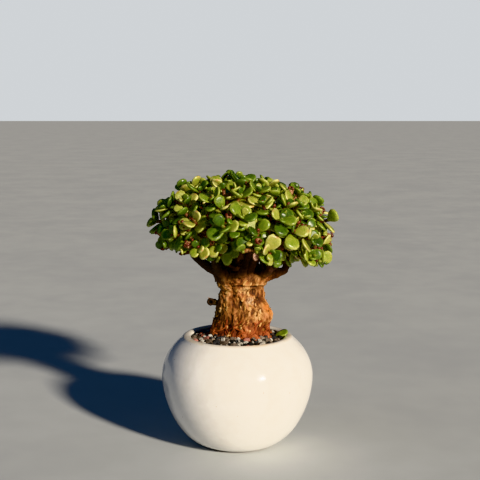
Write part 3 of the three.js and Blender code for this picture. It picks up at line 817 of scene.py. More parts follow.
tidy_surface(trunk)
apply_modifier(trunk, "REMESH", mode="VOXEL", voxel_size=VOXEL)
apply_modifier(trunk, "SMOOTH", factor=0.5, iterations=5)


def positions(piece):
    """The places of a piece's points, a row each."""
    places = np.empty(len(piece.data.vertices) * 3)
    piece.data.vertices.foreach_get("co", places)
    return places.reshape(-1, 3)


def normals(piece):
    """The way that a piece's surface faces at each of its points."""
    facing = np.empty(len(piece.data.vertices) * 3)
    piece.data.vertices.foreach_get("normal", facing)
    return facing.reshape(-1, 3)


# Bark is rough on thick wood and almost smooth on twigs.
TWIG_HEIGHT = 112 * MM
FORK_FADE = 8 * MM
THICK_WOOD_REACH = 9 * MM
THIN_WOOD_FADE = 14 * MM
smooth_places, smooth_normals = positions(trunk), normals(trunk)
out = np.hypot(smooth_places[:, 0] - FORK.x, smooth_places[:, 1])
above_fork = np.clip((smooth_places[:, 2] - FORK.z) / FORK_FADE, 0, 1)
roughness_share = 1 - above_fork * np.clip((out - THICK_WOOD_REACH) / THIN_WOOD_FADE, 0, 0.82)
roughness_share = np.minimum(roughness_share, np.where(smooth_places[:, 2] > TWIG_HEIGHT, 0.3, 1))
rough_wood = trunk.vertex_groups.new(name="rough_wood")
for i, share in enumerate(roughness_share):
    rough_wood.add([i], float(share), "REPLACE")

stretch = bpy.data.objects.new("bark_stretch", None)
bpy.context.scene.collection.objects.link(stretch)


def bark_relief(kind, size, depth, height_share):
    """Relief that is drawn out along the trunk by a share of its height."""
    stretch.scale = (1, 1, height_share)
    bpy.context.view_layer.update()
    relief(trunk, kind, size, depth, texture_coords="OBJECT", texture_coords_object=stretch,
           vertex_group="rough_wood")


bark_relief("CLOUDS", 7.5 * MM, 2.0 * MM, 1.3)
bark_relief("CLOUDS", 2.4 * MM, 1.3 * MM, 2.2)
bark_relief("VORONOI", 1.7 * MM, 1.0 * MM, 1.7)
bark_relief("CLOUDS", 0.8 * MM, 0.7 * MM, 1.5)
bpy.data.objects.remove(stretch)

# The crease under the collar, where the old crown was cut back and the bark has rolled over.
CREASE_HEIGHT = 96.4 * MM
CREASE_HALF_WIDTH = 0.5 * MM
CREASE_DEPTH = 0.5 * MM
CREASE_TURN = math.radians(-65)
ROLL_DEPTH = 0.3 * MM
NECK_REACH = 18 * MM
RIDGE_DEPTH = 1.9 * MM
places, facing = positions(trunk), normals(trunk)
turn = np.arctan2(places[:, 1], places[:, 0] - FORK.x)
wander = 0.5 * np.sin(3 * turn) + 0.3 * np.sin(7 * turn + 1)
level = places[:, 2] - CREASE_HEIGHT - wander * MM
near_axis = out < NECK_REACH
deepest = 0.25 + 0.75 * np.clip(np.cos(turn - CREASE_TURN), 0, 1)
crease = np.exp(-((level / CREASE_HALF_WIDTH) ** 2)) * near_axis * deepest
roll = np.exp(-(((level - 2 * CREASE_HALF_WIDTH) / CREASE_HALF_WIDTH) ** 2)) * near_axis
places += facing * (ROLL_DEPTH * roll - CREASE_DEPTH * crease)[:, None]
trunk.data.vertices.foreach_set("co", places.ravel())
raised = ((positions(trunk) - smooth_places) * smooth_normals).sum(1)
# Painted shade: this share is lowered in the crease, so the crease is also painted darker.
keep_share(trunk, "ridge", np.clip(0.5 + raised / RIDGE_DEPTH - 0.12 * crease, 0, 1))
trunk.vertex_groups.clear()
work_on(trunk)
bpy.ops.object.shade_smooth()


def distance_from(tree, place, spot):
    """How far a place is from a spot."""
    return add_node(tree, "ShaderNodeVectorMath", {0: place, 1: spot},
                    operation="DISTANCE").outputs["Value"]


CUT_PLACE = Vector((-15.6, -4.4, 86.0)) * MM
# Where the bark is worn thin, to straw or to orange: place and reach in millimetres, and colour.
WORN_SPOTS = [((4.5, -13.2, 94.4), 3.4, "e2c08a"), ((9.5, -12.0, 94.2), 3.4, "e6c48c"),
              ((7.3, -12.6, 87.6), 3.4, "efd6ae"), ((17.0, -6.5, 82.4), 6.0, "cf7a3a"),
              ((11.0, -11.5, 80.0), 4.6, "e9bf80"), ((2.0, -14.5, 77.0), 4.0, "7a3518")]

bark, tree, shader, place = new_material("papery_bark", IOR=1.45, Specular_IOR_Level=0.35)
height_mm, side_mm = in_mm(tree, place, "Z"), in_mm(tree, place, "X")
long_grain = add_node(tree, "ShaderNodeMapping", {"Vector": place, "Scale": (1, 1, 0.35)}).outputs[0]
patches = mottled(tree, place, 120.0, 1.2)
fibres = mottled(tree, long_grain, 620.0, 0.6)
# The bark's colours follow this level, dark in its hollows and pale on its ridges. This is partly the
# bark's own colour and partly painted shade.
level = blend(tree, carried(tree, "ridge"), 0.7, fibres["Mask"], 0.3)
golden = paints(tree, level, (0.14, "26140c"), (0.38, "6e4427"), (0.56, "a97848"),
                (0.78, "d0a571"), (0.95, "ead0a4"))
rusty = paints(tree, level, (0.14, "22100a"), (0.4, "5e301d"), (0.62, "955834"),
               (0.88, "c48a5b"))
trunk_colour = mix_paint(tree, patches["Mask"], rusty, golden)
rooty = paints(tree, level, (0.15, "2a0f08"), (0.45, "6f2d18"), (0.8, "a9583a"))
root_share = math_node(tree, "MULTIPLY", span(tree, height_mm, 81, 67), 0.8)
rooted = mix_paint(tree, root_share, trunk_colour, rooty)
# Partly painted shade: above the fork the bark is painted much darker. Part of this is the darker skin
# of young limbs, and part is the crown's shade.
limb_and_shade_colour = paints(tree, level, (0.1, "0e0806"), (0.5, "2c1811"), (0.9, "563223"))
limbed_and_shaded = mix_paint(tree, span(tree, height_mm, 99, 107), rooted, limb_and_shade_colour)
worn = limbed_and_shaded
for spot, reach, code in WORN_SPOTS:
    away = distance_from(tree, place, Vector(spot) * MM)
    near = span(tree, away, reach * MM, 0.2 * reach * MM, 0, 0.8)
    edged = math_node(tree, "MULTIPLY", near, span(tree, level, 0.3, 0.75))
    worn = mix_paint(tree, edged, worn, paint(code))
# Painted shade: on its left, the side away from the sun, the bark is painted a dark grey-brown.
painted_shade_share = math_node(tree, "MULTIPLY", span(tree, side_mm, -6.5, -11.5, 0, 0.75),
                       span(tree, height_mm, 70, 76))
left_side_shaded = mix_paint(tree, painted_shade_share, worn, paint("30271f"))
# Round the old cut the bark is painted dark. This is partly the old callus's own colour and partly
# painted shade.
from_cut = distance_from(tree, place, CUT_PLACE)
cut_dark_and_shaded = mix_paint(tree, span(tree, from_cut, 5 * MM, 3 * MM, 0, 0.9), left_side_shaded, paint("2a1c14"))
# Painted shade: the bark at the bottom of the callus's hole is painted near black.
bark_colour = mix_paint(tree, span(tree, from_cut, 1.4 * MM, 1.0 * MM), cut_dark_and_shaded, paint("080403"))
finish_grained(tree, shader, bark_colour, fibres, 0.62, 0.85, 0.35 * MM)
trunk.data.materials.append(bark)
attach(trunk, "root")
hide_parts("trunk")

# ---- Old cut ----
# Where a branch was cut off low on the left, years ago: a ring of callus has grown round the cut
# and left a hole in its middle. It is of one growth with the stub that it sits on.
CALLUS_RADIUS = 1.55 * MM
CALLUS_HALF_THICKNESS = 0.72 * MM
CALLUS_FACING = Vector((-0.22, -0.97, 0.05))
bpy.ops.object.select_all(action="DESELECT")
bpy.ops.mesh.primitive_torus_add(
    major_radius=CALLUS_RADIUS, minor_radius=CALLUS_HALF_THICKNESS, major_segments=26,
    minor_segments=12, location=CUT_PLACE,
    rotation=CALLUS_FACING.to_track_quat("Z", "Y").to_euler())
callus = new_piece("cut_callus")
bpy.ops.object.transform_apply(location=True, rotation=True, scale=True)
relief(callus, "CLOUDS", 0.9 * MM, 0.9 * MM)
keep_share(callus, "ridge", [0.4] * len(callus.data.vertices))
callus.data.materials.append(bark)
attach(callus, "root")

# ---- New cut ----
# The pale face of the newest cut, high in the fork: clean wood inside a thin ring of bark, with a
# little dark pith. The saw left it a bit oval, and it is part of the stub that it ends.
NEW_CUT_PLACE = Vector((10.3, -20.8, 115.0)) * MM
NEW_CUT_FACING = Vector((0.25, -0.9, 0.35))
NEW_CUT_RADIUS = 1.8 * MM
NEW_CUT_DEPTH = 2.4 * MM
NEW_CUT_OVALNESS = 1.35
PITH_PLACE = NEW_CUT_PLACE + Vector((-0.3, -1.1, 0.1)) * MM
bpy.ops.object.select_all(action="DESELECT")
bpy.ops.mesh.primitive_cylinder_add(
    vertices=28, radius=NEW_CUT_RADIUS, depth=NEW_CUT_DEPTH, location=NEW_CUT_PLACE,
    rotation=NEW_CUT_FACING.to_track_quat("Z", "Y").to_euler())
new_cut = new_piece("new_cut")
new_cut.scale = (1, NEW_CUT_OVALNESS, 1)
bpy.ops.object.transform_apply(location=True, rotation=True, scale=True)
apply_modifier(new_cut, "BEVEL", width=0.35 * MM, segments=3)
tidy_surface(new_cut)

cut_wood, tree, shader, place = new_material("cut_wood", IOR=1.45, Specular_IOR_Level=0.3)
wood_grain = mottled(tree, place, 900.0, 0.8)
from_pith = distance_from(tree, place, PITH_PLACE)
pale_wood = paints(tree, wood_grain["Mask"], (0, "a87b66"), (0.5, "d3ac97"), (1, "e8cdbb"))
pithed = mix_paint(tree, span(tree, from_pith, 0.5 * MM, 0.25 * MM), pale_wood, paint("2a160f"))
rimmed = mix_paint(tree, span(tree, from_pith, 1.9 * MM, 2.4 * MM), pithed, paint("5a3222"))
finish_grained(tree, shader, rimmed, wood_grain, 0.6, 0.8, 0.2 * MM)
new_cut.data.materials.append(cut_wood)
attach(new_cut, "root")

# ---- Bark flakes ----
# Old jade bark dries and lets go in thin, curled scraps that stay stuck by one edge. One scrap
# is shaped three ways and laid on the trunk, longest way up.
FLAKE_LENGTH = 3 * MM
FLAKE_THICKNESS = 0.22 * MM
FLAKE_COUNT = 190
FLAKE_FOOT = 66 * MM
FLAKE_TOP = 100 * MM
FLAKE_REACH = 19 * MM
FLAKE_WIDTH_SHARE = 0.55
FLAKE_LIFT = 0.08 * MM
flake_rng = random.Random(23)


def shape_flake(name, curl, raggedness):
    """A scrap at the origin, along +X and with its outside to +Z: a ragged, curled little sheet."""
    bpy.ops.object.select_all(action="DESELECT")
    bpy.ops.mesh.primitive_grid_add(x_subdivisions=5, y_subdivisions=3, size=1)
    flake = new_piece(name)
    for vertex in flake.data.vertices:
        x, y, _ = vertex.co
        on_rim = max(abs(x), abs(y)) > 0.49
        ragged = 1 + (flake_rng.uniform(-raggedness, raggedness) if on_rim else 0)
        narrow = 1 - 0.5 * abs(x) ** 1.5
        height = 0.6 * (curl * (x + 0.4) ** 2 - 0.5 * y * y)
        vertex.co = Vector((x * ragged, y * FLAKE_WIDTH_SHARE * narrow * ragged, height))
        vertex.co *= FLAKE_LENGTH
    apply_modifier(flake, "SOLIDIFY", thickness=FLAKE_THICKNESS, offset=0)
    tidy_surface(flake, smooth=False)
    bpy.ops.object.shade_smooth_by_angle(angle=math.radians(40))
    return flake


def matrix_of(place, x, y, z):
    """The matrix that takes a master's own axes to these, and its origin to the place."""
    return Matrix(((x.x, y.x, z.x, place.x), (x.y, y.y, z.y, place.y),
                   (x.z, y.z, z.z, place.z), (0, 0, 0, 1)))


flake_masters = [shape_flake("flake_flat", 0.1, 0.2), shape_flake("flake_curled", 0.5, 0.3),
                 shape_flake("flake_hooked", -0.25, 0.35)]
places, facing = positions(trunk), normals(trunk)
on_trunk = np.flatnonzero((places[:, 2] > FLAKE_FOOT) & (places[:, 2] < FLAKE_TOP)
                          & (np.hypot(places[:, 0] - FORK.x, places[:, 1]) < FLAKE_REACH))
flakes = []
for i in flake_rng.sample(list(map(int, on_trunk)), FLAKE_COUNT):
    outside = Vector(facing[i])
    lean = Vector((flake_rng.uniform(-0.6, 0.6), flake_rng.uniform(-0.6, 0.6),
                   flake_rng.choice((-1, 1))))
    long_way = (lean - outside * lean.dot(outside)).normalized()
    tilted = (outside + long_way * flake_rng.uniform(-0.35, 0.05)).normalized()
    across = tilted.cross(long_way).normalized()
    size = flake_rng.uniform(0.45, 1.15)
    matrix = matrix_of(Vector(places[i]) + outside * FLAKE_LIFT, long_way * size,
                       across * size * flake_rng.uniform(0.7, 1.2), tilted)
    flakes.append(copy_to(flake_rng.choice(flake_masters), matrix, flake_rng.random()))
bark_flakes = join("bark_flakes", flakes)
for master in flake_masters:
    bpy.data.objects.remove(master)

flake_paint, tree, shader, place = new_material("dry_bark", IOR=1.45, Specular_IOR_Level=0.3)
papery = mottled(tree, place, 700.0, 0.8)
shade = blend(tree, papery["Mask"], 0.35, carried(tree, "tone"), 0.65)
flake_colour = paints(tree, shade, (0.05, "3a2013"), (0.3, "80502a"), (0.6, "bd8a50"),
                      (0.95, "e6c691"))
finish_grained(tree, shader, flake_colour, papery, 0.65, 0.9, 0.2 * MM)
bark_flakes.data.materials.append(flake_paint)
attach(bark_flakes, "root")

# ---- Fine roots ----
# Thin, rusty roots that have come out of the flare, run down over its bark and dive into the grit.
FINE_ROOT_COUNT = 44
FINE_ROOT_STEPS = 9
FINE_ROOT_ENDS = [(1.2, 0.8), (2.6, 1.8), (3.6, 3.4)]  # how far out and down, in millimetres
FINE_ROOT_POINTS = 16
SEARCH_RADIUS = 17 * MM
trunk_skin = BVHTree.FromObject(trunk, bpy.context.evaluated_depsgraph_get())


def fine_root_route(turn):
    """Over the trunk's own skin from a place on the flare down to its foot, then out and down."""
    top, foot = flake_rng.uniform(69, 78), flake_rng.uniform(65, 66.5)
    drift = flake_rng.uniform(-0.11, 0.11)
    route = []
    for step in range(FINE_ROOT_STEPS):
        share = step / (FINE_ROOT_STEPS - 1)
        turn += drift + flake_rng.uniform(-0.1, 0.1)
        away = Vector((math.cos(turn), math.sin(turn), 0))
        near = Vector((FORK.x, 0, (top + (foot - top) * share) * MM)) + away * SEARCH_RADIUS
        skin, outside, _, _ = trunk_skin.find_nearest(near)
        route.append(skin + outside * 0.1 * MM)
    for out_by, down_by in FINE_ROOT_ENDS:
        route.append(route[FINE_ROOT_STEPS - 1] + (away * out_by - Vector((0, 0, down_by))) * MM)
    return along(route, FINE_ROOT_POINTS)


root_pieces = []
for i in range(FINE_ROOT_COUNT):
    turn = 2 * math.pi * (i + flake_rng.random()) / FINE_ROOT_COUNT
    half_width = flake_rng.uniform(0.28, 0.6) * MM
    radii = tapered(half_width, 0.5 * half_width, FINE_ROOT_POINTS)
    root = rod("fine_root", fine_root_route(turn), radii, 6)
    keep_share(root, "tone", np.full(len(root.data.vertices), flake_rng.random()))
    root_pieces.append(root)
fine_roots = join("fine_roots", root_pieces)
tidy_surface(fine_roots)

root_paint, tree, shader, place = new_material("rusty_root", IOR=1.45, Specular_IOR_Level=0.35)
rind = mottled(tree, place, 600.0, 0.5)
shade = blend(tree, rind["Mask"], 0.4, carried(tree, "tone"), 0.6)
root_colour = paints(tree, shade, (0.05, "3a150c"), (0.4, "78351f"), (0.7, "a55a36"),
                     (0.95, "cf925f"))
finish_grained(tree, shader, root_colour, rind, 0.55, 0.8, 0.15 * MM)
fine_roots.data.materials.append(root_paint)
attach(fine_roots, "root")

# ---- Leafy sprays ----
# Young stems with pairs of leaves set crosswise at their joints. Each leaf is a small, thick,
# watery pad, rounder towards its tip, and the skin of the newest stems and buds is maroon.
LEAF_LENGTH = 10.2 * MM
YOUNG_LEAF_LENGTH = 8.4 * MM
LEAF_ASPECT = 0.86
LEAF_THICKNESS = 1.9 * MM
LEAF_NECK = 0.45
LEAF_TOE = 1.24
MASTER_LENGTH = 10 * MM
SHOOT_RADIUS = 1.15 * MM
LEAF_SIDES = 12
LEAF_RINGS = 5
WIDEST_RING = 0.951  # half width of the widest ring of a ball with that many


def leaf_frame(root, pointing, upper, length):
    """A leaf starts at its root, points one way, looks up another and has a length."""
    across = upper.cross(pointing).normalized()
    return {"root": root, "pointing": pointing, "across": across, "upper": upper, "length": length}


def leaf_place(leaf, t, s, h):
    """A place on a leaf: t along it, s across it from -1 to 1, and h through it from -1 to 1."""
    half_width = leaf["length"] * LEAF_ASPECT / 2 * (LEAF_NECK + (LEAF_TOE - LEAF_NECK) * t)
    cup = LEAF_THICKNESS * (0.3 * s * s + 0.5 * (t - 0.5) ** 2 - 0.2)
    return (leaf["root"] + leaf["pointing"] * t * leaf["length"] + leaf["across"] * half_width * s
            + leaf["upper"] * (cup + h * LEAF_THICKNESS / 2))


def shape_leaf(name, thickness_share, curl):
    """A leaf at the origin, along +X and looking up +Z: a ball pressed to a thick-edged pad."""
    bpy.ops.object.select_all(action="DESELECT")
    bpy.ops.mesh.primitive_uv_sphere_add(segments=LEAF_SIDES, ring_count=LEAF_RINGS, radius=1)
    leaf = new_piece(name)
    flat = leaf_frame(Vector((0, 0, 0)), Vector((1, 0, 0)), Vector((0, 0, 1)), MASTER_LENGTH)
    blade = leaf.data.uv_layers[0]
    blade.name = "blade"
    shares = []
    for vertex in leaf.data.vertices:
        x, y, z = vertex.co
        rim = min(1, math.hypot(x, y) / WIDEST_RING)
        turn = math.atan2(y, x)
        t, s = 0.5 + 0.5 * rim * math.cos(turn), rim * math.sin(turn)
        foot = min(1, 0.45 + 2.2 * t)
        h = math.copysign(abs(z) ** 0.75, z) * thickness_share * foot
        shares.append((t, 0.5 + 0.5 * s))
        place = leaf_place(flat, t, s, h)
        place.z += curl * MASTER_LENGTH * (t - 0.4) * abs(t - 0.4)
        vertex.co = place
    for loop in leaf.data.loops:
        blade.data[loop.index].uv = shares[loop.vertex_index]
    tidy_surface(leaf)
    return leaf


leaf_masters = [shape_leaf("leaf", 1.12, 0.0), shape_leaf("leaf_cupped", 1.04, 0.22),
                shape_leaf("leaf_drooped", 1.2, -0.2)]

SAME_PLACE = 0.03 * MM
ADDED_SHIFTS = 9
LEAF_REACH = 12 * MM
SHIFTS = [  # a leaf with no room is turned round its stem, folded and made smaller
    (0, 0, 1), (0.35, 0, 1), (-0.35, 0, 1), (0, -0.25, 1), (0, 0.25, 1),
    (0.6, -0.1, 0.9), (-0.6, -0.1, 0.9), (0, -0.45, 0.9), (0.3, -0.3, 0.8),
    (-0.3, -0.3, 0.8), (0.8, -0.3, 0.8), (-0.8, -0.3, 0.8), (0, -0.6, 0.75)]
PAIR_KINDS = [(0.94, YOUNG_LEAF_LENGTH, 0.85), (0.72, LEAF_LENGTH, 1.25)]
rim_turns = [2 * math.pi * i / 7 for i in range(7)]
CORNERS = [(0.5 - 0.5 * math.cos(a), math.sin(a), 0) for a in rim_turns] + [(0.5, 0, 1), (0.5, 0, -1)]


def turned_leaf(shoot, share, azimuth, fold, length):
    """A leaf on a shoot, at a share of the way to its tip, turned round it and folded from it."""
    heading = shoot["heading"]
    sideways = Vector((0, 0, 1)).cross(heading).normalized()
    lean = sideways * math.cos(azimuth) + heading.cross(sideways) * math.sin(azimuth)
    pointing = heading * math.cos(fold) + lean * math.sin(fold)
    upper = heading * math.sin(fold) - lean * math.cos(fold)
    root = shoot["from"].lerp(shoot["to"], share) + lean * 0.25 * MM
    return leaf_frame(root, pointing, upper, length)


def framed_leaf(node_places, shoot, share, azimuth, fold, length):
    """The first shift of a leaf that the spray's node in the frame has, or None."""
    for turn, droop, scale in SHIFTS:
        leaf = turned_leaf(shoot, share, azimuth + turn, fold + droop, length * scale)
        corners = np.array([leaf_place(leaf, *corner) for corner in CORNERS])
        gaps = np.linalg.norm(corners[:, None] - node_places[None], axis=2).min(1)
        if (gaps < SAME_PLACE).sum() >= 3:
            return leaf
    return None


spray_names = [f"spray_{j + 1:02d}" for j in range(SPRAY_COUNT)]
node_places = [positions(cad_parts[name]) for name in spray_names]
grown = [[] for _ in sprays]
for pair, (share, length, fold) in enumerate(PAIR_KINDS):
    for j, spray in enumerate(sprays):
        for shoot in spray["shoots"]:
            for half in range(2):
                azimuth = shoot["turn"] + math.pi / 2 * pair + math.pi * half + growth.spread(0.15)
                leaf_fold = fold + growth.spread(0.15)
                leaf_length = length * (1 + growth.spread(0.13))
                leaf = framed_leaf(node_places[j], shoot, share, azimuth, leaf_fold, leaf_length)
                if leaf:
                    grown[j].append(leaf)

# Smaller leaves, side shoots and tips that fill the crown wherever there is room for them.
PROBES = [(0.5, 0, 1), (0.5, 0, -1), (1, 0, 0), (0.9, 0.55, 0), (0.9, -0.55, 0), (0.65, 0.9, 0),
          (0.65, -0.9, 0), (0.35, 0.8, 0), (0.35, -0.8, 0), (0.75, 0.35, 0.8), (0.75, -0.35, -0.8)]
ROUNDNESS = 2.6
MOST_LEAVES = 3000
taken = {"count": 0, "frames": np.zeros((MOST_LEAVES, 13)), "middles": np.zeros((MOST_LEAVES, 3)),
         "probes": np.zeros((MOST_LEAVES, len(PROBES), 3))}


def frame_row(leaf):
    """A leaf's frame as 13 numbers."""
    return [*leaf["root"], *leaf["pointing"], *leaf["across"], *leaf["upper"], leaf["length"]]


def probe_rows(leaf):
    """The places on a leaf that must not lie inside another."""
    return [tuple(leaf_place(leaf, *probe)) for probe in PROBES]


def take_room(leaf):
    """Writes a leaf down, so that the next ones keep out of it."""
    i = taken["count"]
    taken["frames"][i] = frame_row(leaf)
    taken["middles"][i] = leaf_place(leaf, 0.5, 0, 0)
    taken["probes"][i] = probe_rows(leaf)
    taken["count"] = i + 1


def inside(points, frames):
    """Whether each point lies inside the leaf of its frame, taken as a flat rounded block."""
    away = points - frames[..., 0:3]
    length = frames[..., 12]
    u = np.abs((away * frames[..., 3:6]).sum(-1) - length / 2) / (length / 2)
    v = np.abs((away * frames[..., 6:9]).sum(-1)) / (length * LEAF_ASPECT / 2)
    w = np.abs((away * frames[..., 9:12]).sum(-1)) / (LEAF_THICKNESS * 0.62)
    return (u ** ROUNDNESS + v ** ROUNDNESS) ** (2 / ROUNDNESS) + w * w < 1


def kept_clear(points):
    """Whether all the points are above the crown's skirt and outside the ways kept open."""
    if (points[:, 2] < skirt_height(points[:, 0], points[:, 1])).any():
        return False
    away = points[:, None] - clear_starts[None]
    share = np.clip((away * clear_chords).sum(-1) / (clear_chords ** 2).sum(-1), 0, 1)
    gaps = np.linalg.norm(away - share[..., None] * clear_chords, axis=-1)
    return (gaps > clear_widths).all()


def has_room(leaf):
    """Whether a leaf is clear of all the leaves that are there already and of the open ways."""
    if not kept_clear(np.array(probe_rows(leaf))):
        return False
    count = taken["count"]
    away = taken["middles"][:count] - np.array(leaf_place(leaf, 0.5, 0, 0))
    near = np.flatnonzero((away ** 2).sum(1) < LEAF_REACH ** 2)
    if inside(np.array(probe_rows(leaf))[:, None], taken["frames"][near][None]).any():
        return False
    return not inside(taken["probes"][near], np.array([[frame_row(leaf)]])).any()


def add_leaf(leaves, shoot, share, azimuth, fold, length):
    """Adds a leaf to a shoot with the first shift that has room, if one has."""
    for turn, droop, scale in SHIFTS[:ADDED_SHIFTS]:
        leaf = turned_leaf(shoot, share, azimuth + turn, fold + droop, length * scale)
        if has_room(leaf):
            take_room(leaf)
            leaves.append(leaf)
            return


def add_pair(leaves, shoot, share, quarter, fold, length):
    """Adds two leaves across a shoot from each other, turned by quarters from its first pair."""
    for half in range(2):
        azimuth = shoot["turn"] + math.pi * (quarter / 2 + half) + look.uniform(-0.2, 0.2)
        add_leaf(leaves, shoot, share, azimuth, fold + look.uniform(-0.15, 0.15),
                 length * look.uniform(0.85, 1.12) * MM)


for leaf in sum(grown, []):
    take_room(leaf)


def side_shoot(spray, k):
    """A shorter shoot that forks off between two of a spray's shoots."""
    a, b = spray["shoots"][k], spray["shoots"][(k + 1) % SHOOTS]
    middle = (a["to"] + b["to"]) / 2
    start = spray["base"].lerp(spray["fork"], look.uniform(0.5, 0.9))
    tip = middle + spray["axis"] * look.uniform(-3.5, 0.5) * MM
    heading = ((tip - start).normalized() + spray["axis"] * 0.6).normalized()
    return {"from": start, "to": tip, "heading": heading, "turn": look.uniform(0, math.pi)}


all_sprays = sprays + filler_sprays
grown += [[] for _ in filler_sprays]

# Many stems end in a knob, where the tip was pinched out, healed over and has budded again.
KNOB_SHARE = 0.65
KNOB_VIEW = 7 * MM
KNOB_VIEW_HALF_WIDTH = 2.8 * MM
for spray in all_sprays:
    tip = spray["axis"] * SHOOT_REACH * look.uniform(1.15, 1.5)
    tip += Vector([look.uniform(-1.5, 1.5) for _ in range(3)]) * MM
    if look.random() < KNOB_SHARE:
        spray["knob"] = spray["fork"] + tip
open_ways = [LEAF_GAP, LIGHT_WAY] + [
    (spray["knob"], spray["knob"] + spray["axis"] * KNOB_VIEW, KNOB_VIEW_HALF_WIDTH)
    for spray in all_sprays if "knob" in spray]
clear_starts = np.array([start for start, _, _ in open_ways])
clear_chords = np.array([end - start for start, end, _ in open_ways])
clear_widths = np.array([width for _, _, width in open_ways])
for spray in all_sprays:
    spray["side_shoots"] = [side_shoot(spray, k) for k in range(SHOOTS)]
FILLER_PAIRS = [  # share along the shoot, quarter turns, fold and length in millimetres
    (0.95, 0, 1.15, 7.6), (0.62, 1, 1.4, 8.4)]
for spray, leaves in zip(filler_sprays, grown[SPRAY_COUNT:]):
    for pair in FILLER_PAIRS:
        for shoot in spray["shoots"]:
            add_pair(leaves, shoot, *pair)
ROUNDS = [  # which shoots, share along the shoot, quarter turns, fold and length in millimetres
    ("shoots", 1.02, 1, 0.75, 5.0), ("side_shoots", 0.95, 0, 1.15, 7.2),
    ("side_shoots", 0.72, 1, 1.4, 8.4), ("shoots", 0.48, 0, 1.5, 8.6),
    ("side_shoots", 0.5, 0, 1.45, 8.0), ("side_shoots", 1.03, 1, 0.7, 4.6),
    ("shoots", 0.25, 1, 1.5, 8.0)]
for kind, *pair in ROUNDS:
    for spray, leaves in zip(all_sprays, grown):
        for shoot in spray[kind]:
            add_pair(leaves, shoot, *pair)

STEM_RINGS = [  # half width in shoot radii, and share of the length: swollen at each joint
    (0.9, 0), (0.98, 0.24), (1.22, 0.27), (0.94, 0.3), (0.9, 0.46), (1.18, 0.49), (0.88, 0.52),
    (0.86, 0.7), (1.12, 0.73), (0.82, 0.76), (0.8, 0.92), (1.0, 0.95), (0.5, 1.01)]
BUD_RINGS = [(0.35, 0), (0.9, 0.6), (1.05, 1.2), (0.75, 2.1), (0.2, 2.8)]  # in millimetres
KNOB_RINGS = [  # half width and height in millimetres: the last two lie in the scar's dip
    (1.15, 0), (1.15, 2.2), (1.5, 2.6), (1.2, 3.0), (1.2, 4.9), (1.6, 5.4), (1.3, 5.9),
    (1.35, 7.2), (1.8, 7.8), (2.0, 8.6), (1.8, 9.4), (1.3, 9.8), (0.85, 9.5), (0.35, 9.0)]
young_stem = throw_rings(
    "young_stem", [(r * SHOOT_RADIUS, z * MASTER_LENGTH) for r, z in STEM_RINGS], 8)
bud = throw_rings("bud", [(r * MM, z * MM) for r, z in BUD_RINGS], 6)
knob = throw_rings("knob", [(r * MM, z * MM) for r, z in KNOB_RINGS], 10)
relief(knob, "CLOUDS", 1.1 * MM, 0.9 * MM)
keep_share(knob, "end", [vertex.co.z / MASTER_LENGTH for vertex in knob.data.vertices])


def stem_matrix(start, end):
    """Takes a stem that was modelled along +Z to a line, in proportion along it."""
    chord = end - start
    z = chord / MASTER_LENGTH
    x = chord.orthogonal().normalized()
    return matrix_of(start, x, chord.normalized().cross(x), z)


def leaf_matrix(leaf):
    """Takes the master leaf to a leaf's frame: a short leaf is thinner, but less than in proportion."""
    share = leaf["length"] / MASTER_LENGTH
    thick = 0.5 + 0.5 * min(1, share)
    return matrix_of(leaf["root"], leaf["pointing"] * share, leaf["across"] * share,
                     leaf["upper"] * thick)


def leaf_blotch(tree, blade, x, y, reach, softness):
    """How near a leaf's own place is to a spot on it."""
    return span(tree, distance_from(tree, blade, (x, y, 0)), reach + softness, reach)


leaf_skin, tree, shader, place = new_material(
    "leaf_skin", IOR=1.45, Subsurface_Weight=0.18, Subsurface_Scale=2.5 * MM,
    Subsurface_Radius=(0.7, 1.0, 0.25), Specular_IOR_Level=0.5)
tone = carried(tree, "tone")
blade = add_node(tree, "ShaderNodeUVMap", uv_map="blade").outputs["UV"]
from_rim = leaf_blotch(tree, blade, 0.5, 0.5, 0.34, 0.17)
skin = mottled(tree, place, 260.0, 0.4)
shade = blend(tree, skin["Mask"], 0.25, tone, 0.75)
heart = paints(tree, shade, (0.05, "223a10"), (0.35, "45611e"), (0.6, "76892f"), (0.9, "a8a658"))
edge = paints(tree, shade, (0.05, "3c551c"), (0.4, "758a38"), (0.7, "acb15e"), (0.95, "dcd896"))
green = mix_paint(tree, from_rim, edge, heart)
foot = leaf_blotch(tree, blade, 0.0, 0.5, 0.05, 0.16)
footed = mix_paint(tree, math_node(tree, "MULTIPLY", foot, 0.7), green, paint("b9b25f"))
blush_tip = leaf_blotch(tree, blade, 1.0, 0.5, 0.02, 0.2)
blushing = math_node(tree, "MULTIPLY", blush_tip, span(tree, tone, 0.72, 0.95, 0, 0.55))
leaf_colour = mix_paint(tree, blushing, footed, paint("a8563a"))
finish_grained(tree, shader, leaf_colour, skin, 0.26, 0.42, 0.12 * MM)

stem_skin, tree, shader, place = new_material("stem_skin", IOR=1.45, Specular_IOR_Level=0.4)
rings = mottled(tree, place, 420.0, 0.5)
shade = blend(tree, rings["Mask"], 0.4, carried(tree, "tone"), 0.6)
stem_colour = paints(tree, shade, (0.05, "2a140f"), (0.35, "4e271d"), (0.6, "714732"),
                     (0.95, "a8815a"))
finish_grained(tree, shader, stem_colour, rings, 0.4, 0.6, 0.15 * MM)

bud_skin, tree, shader, place = new_material("bud_skin", IOR=1.45)
scales = mottled(tree, place, 700.0, 0.3)
green_bud = paints(tree, scales["Mask"], (0, "3d4a18"), (0.5, "6c7a2c"), (1, "a5a552"))
maroon_bud = paints(tree, scales["Mask"], (0, "330f10"), (0.5, "612722"), (1, "9c5f49"))
maroon_share = span(tree, carried(tree, "tone"), 0.6, 0.75)
bud_colour = mix_paint(tree, maroon_share, green_bud, maroon_bud)
finish_grained(tree, shader, bud_colour, scales, 0.3, 0.5, 0.15 * MM)

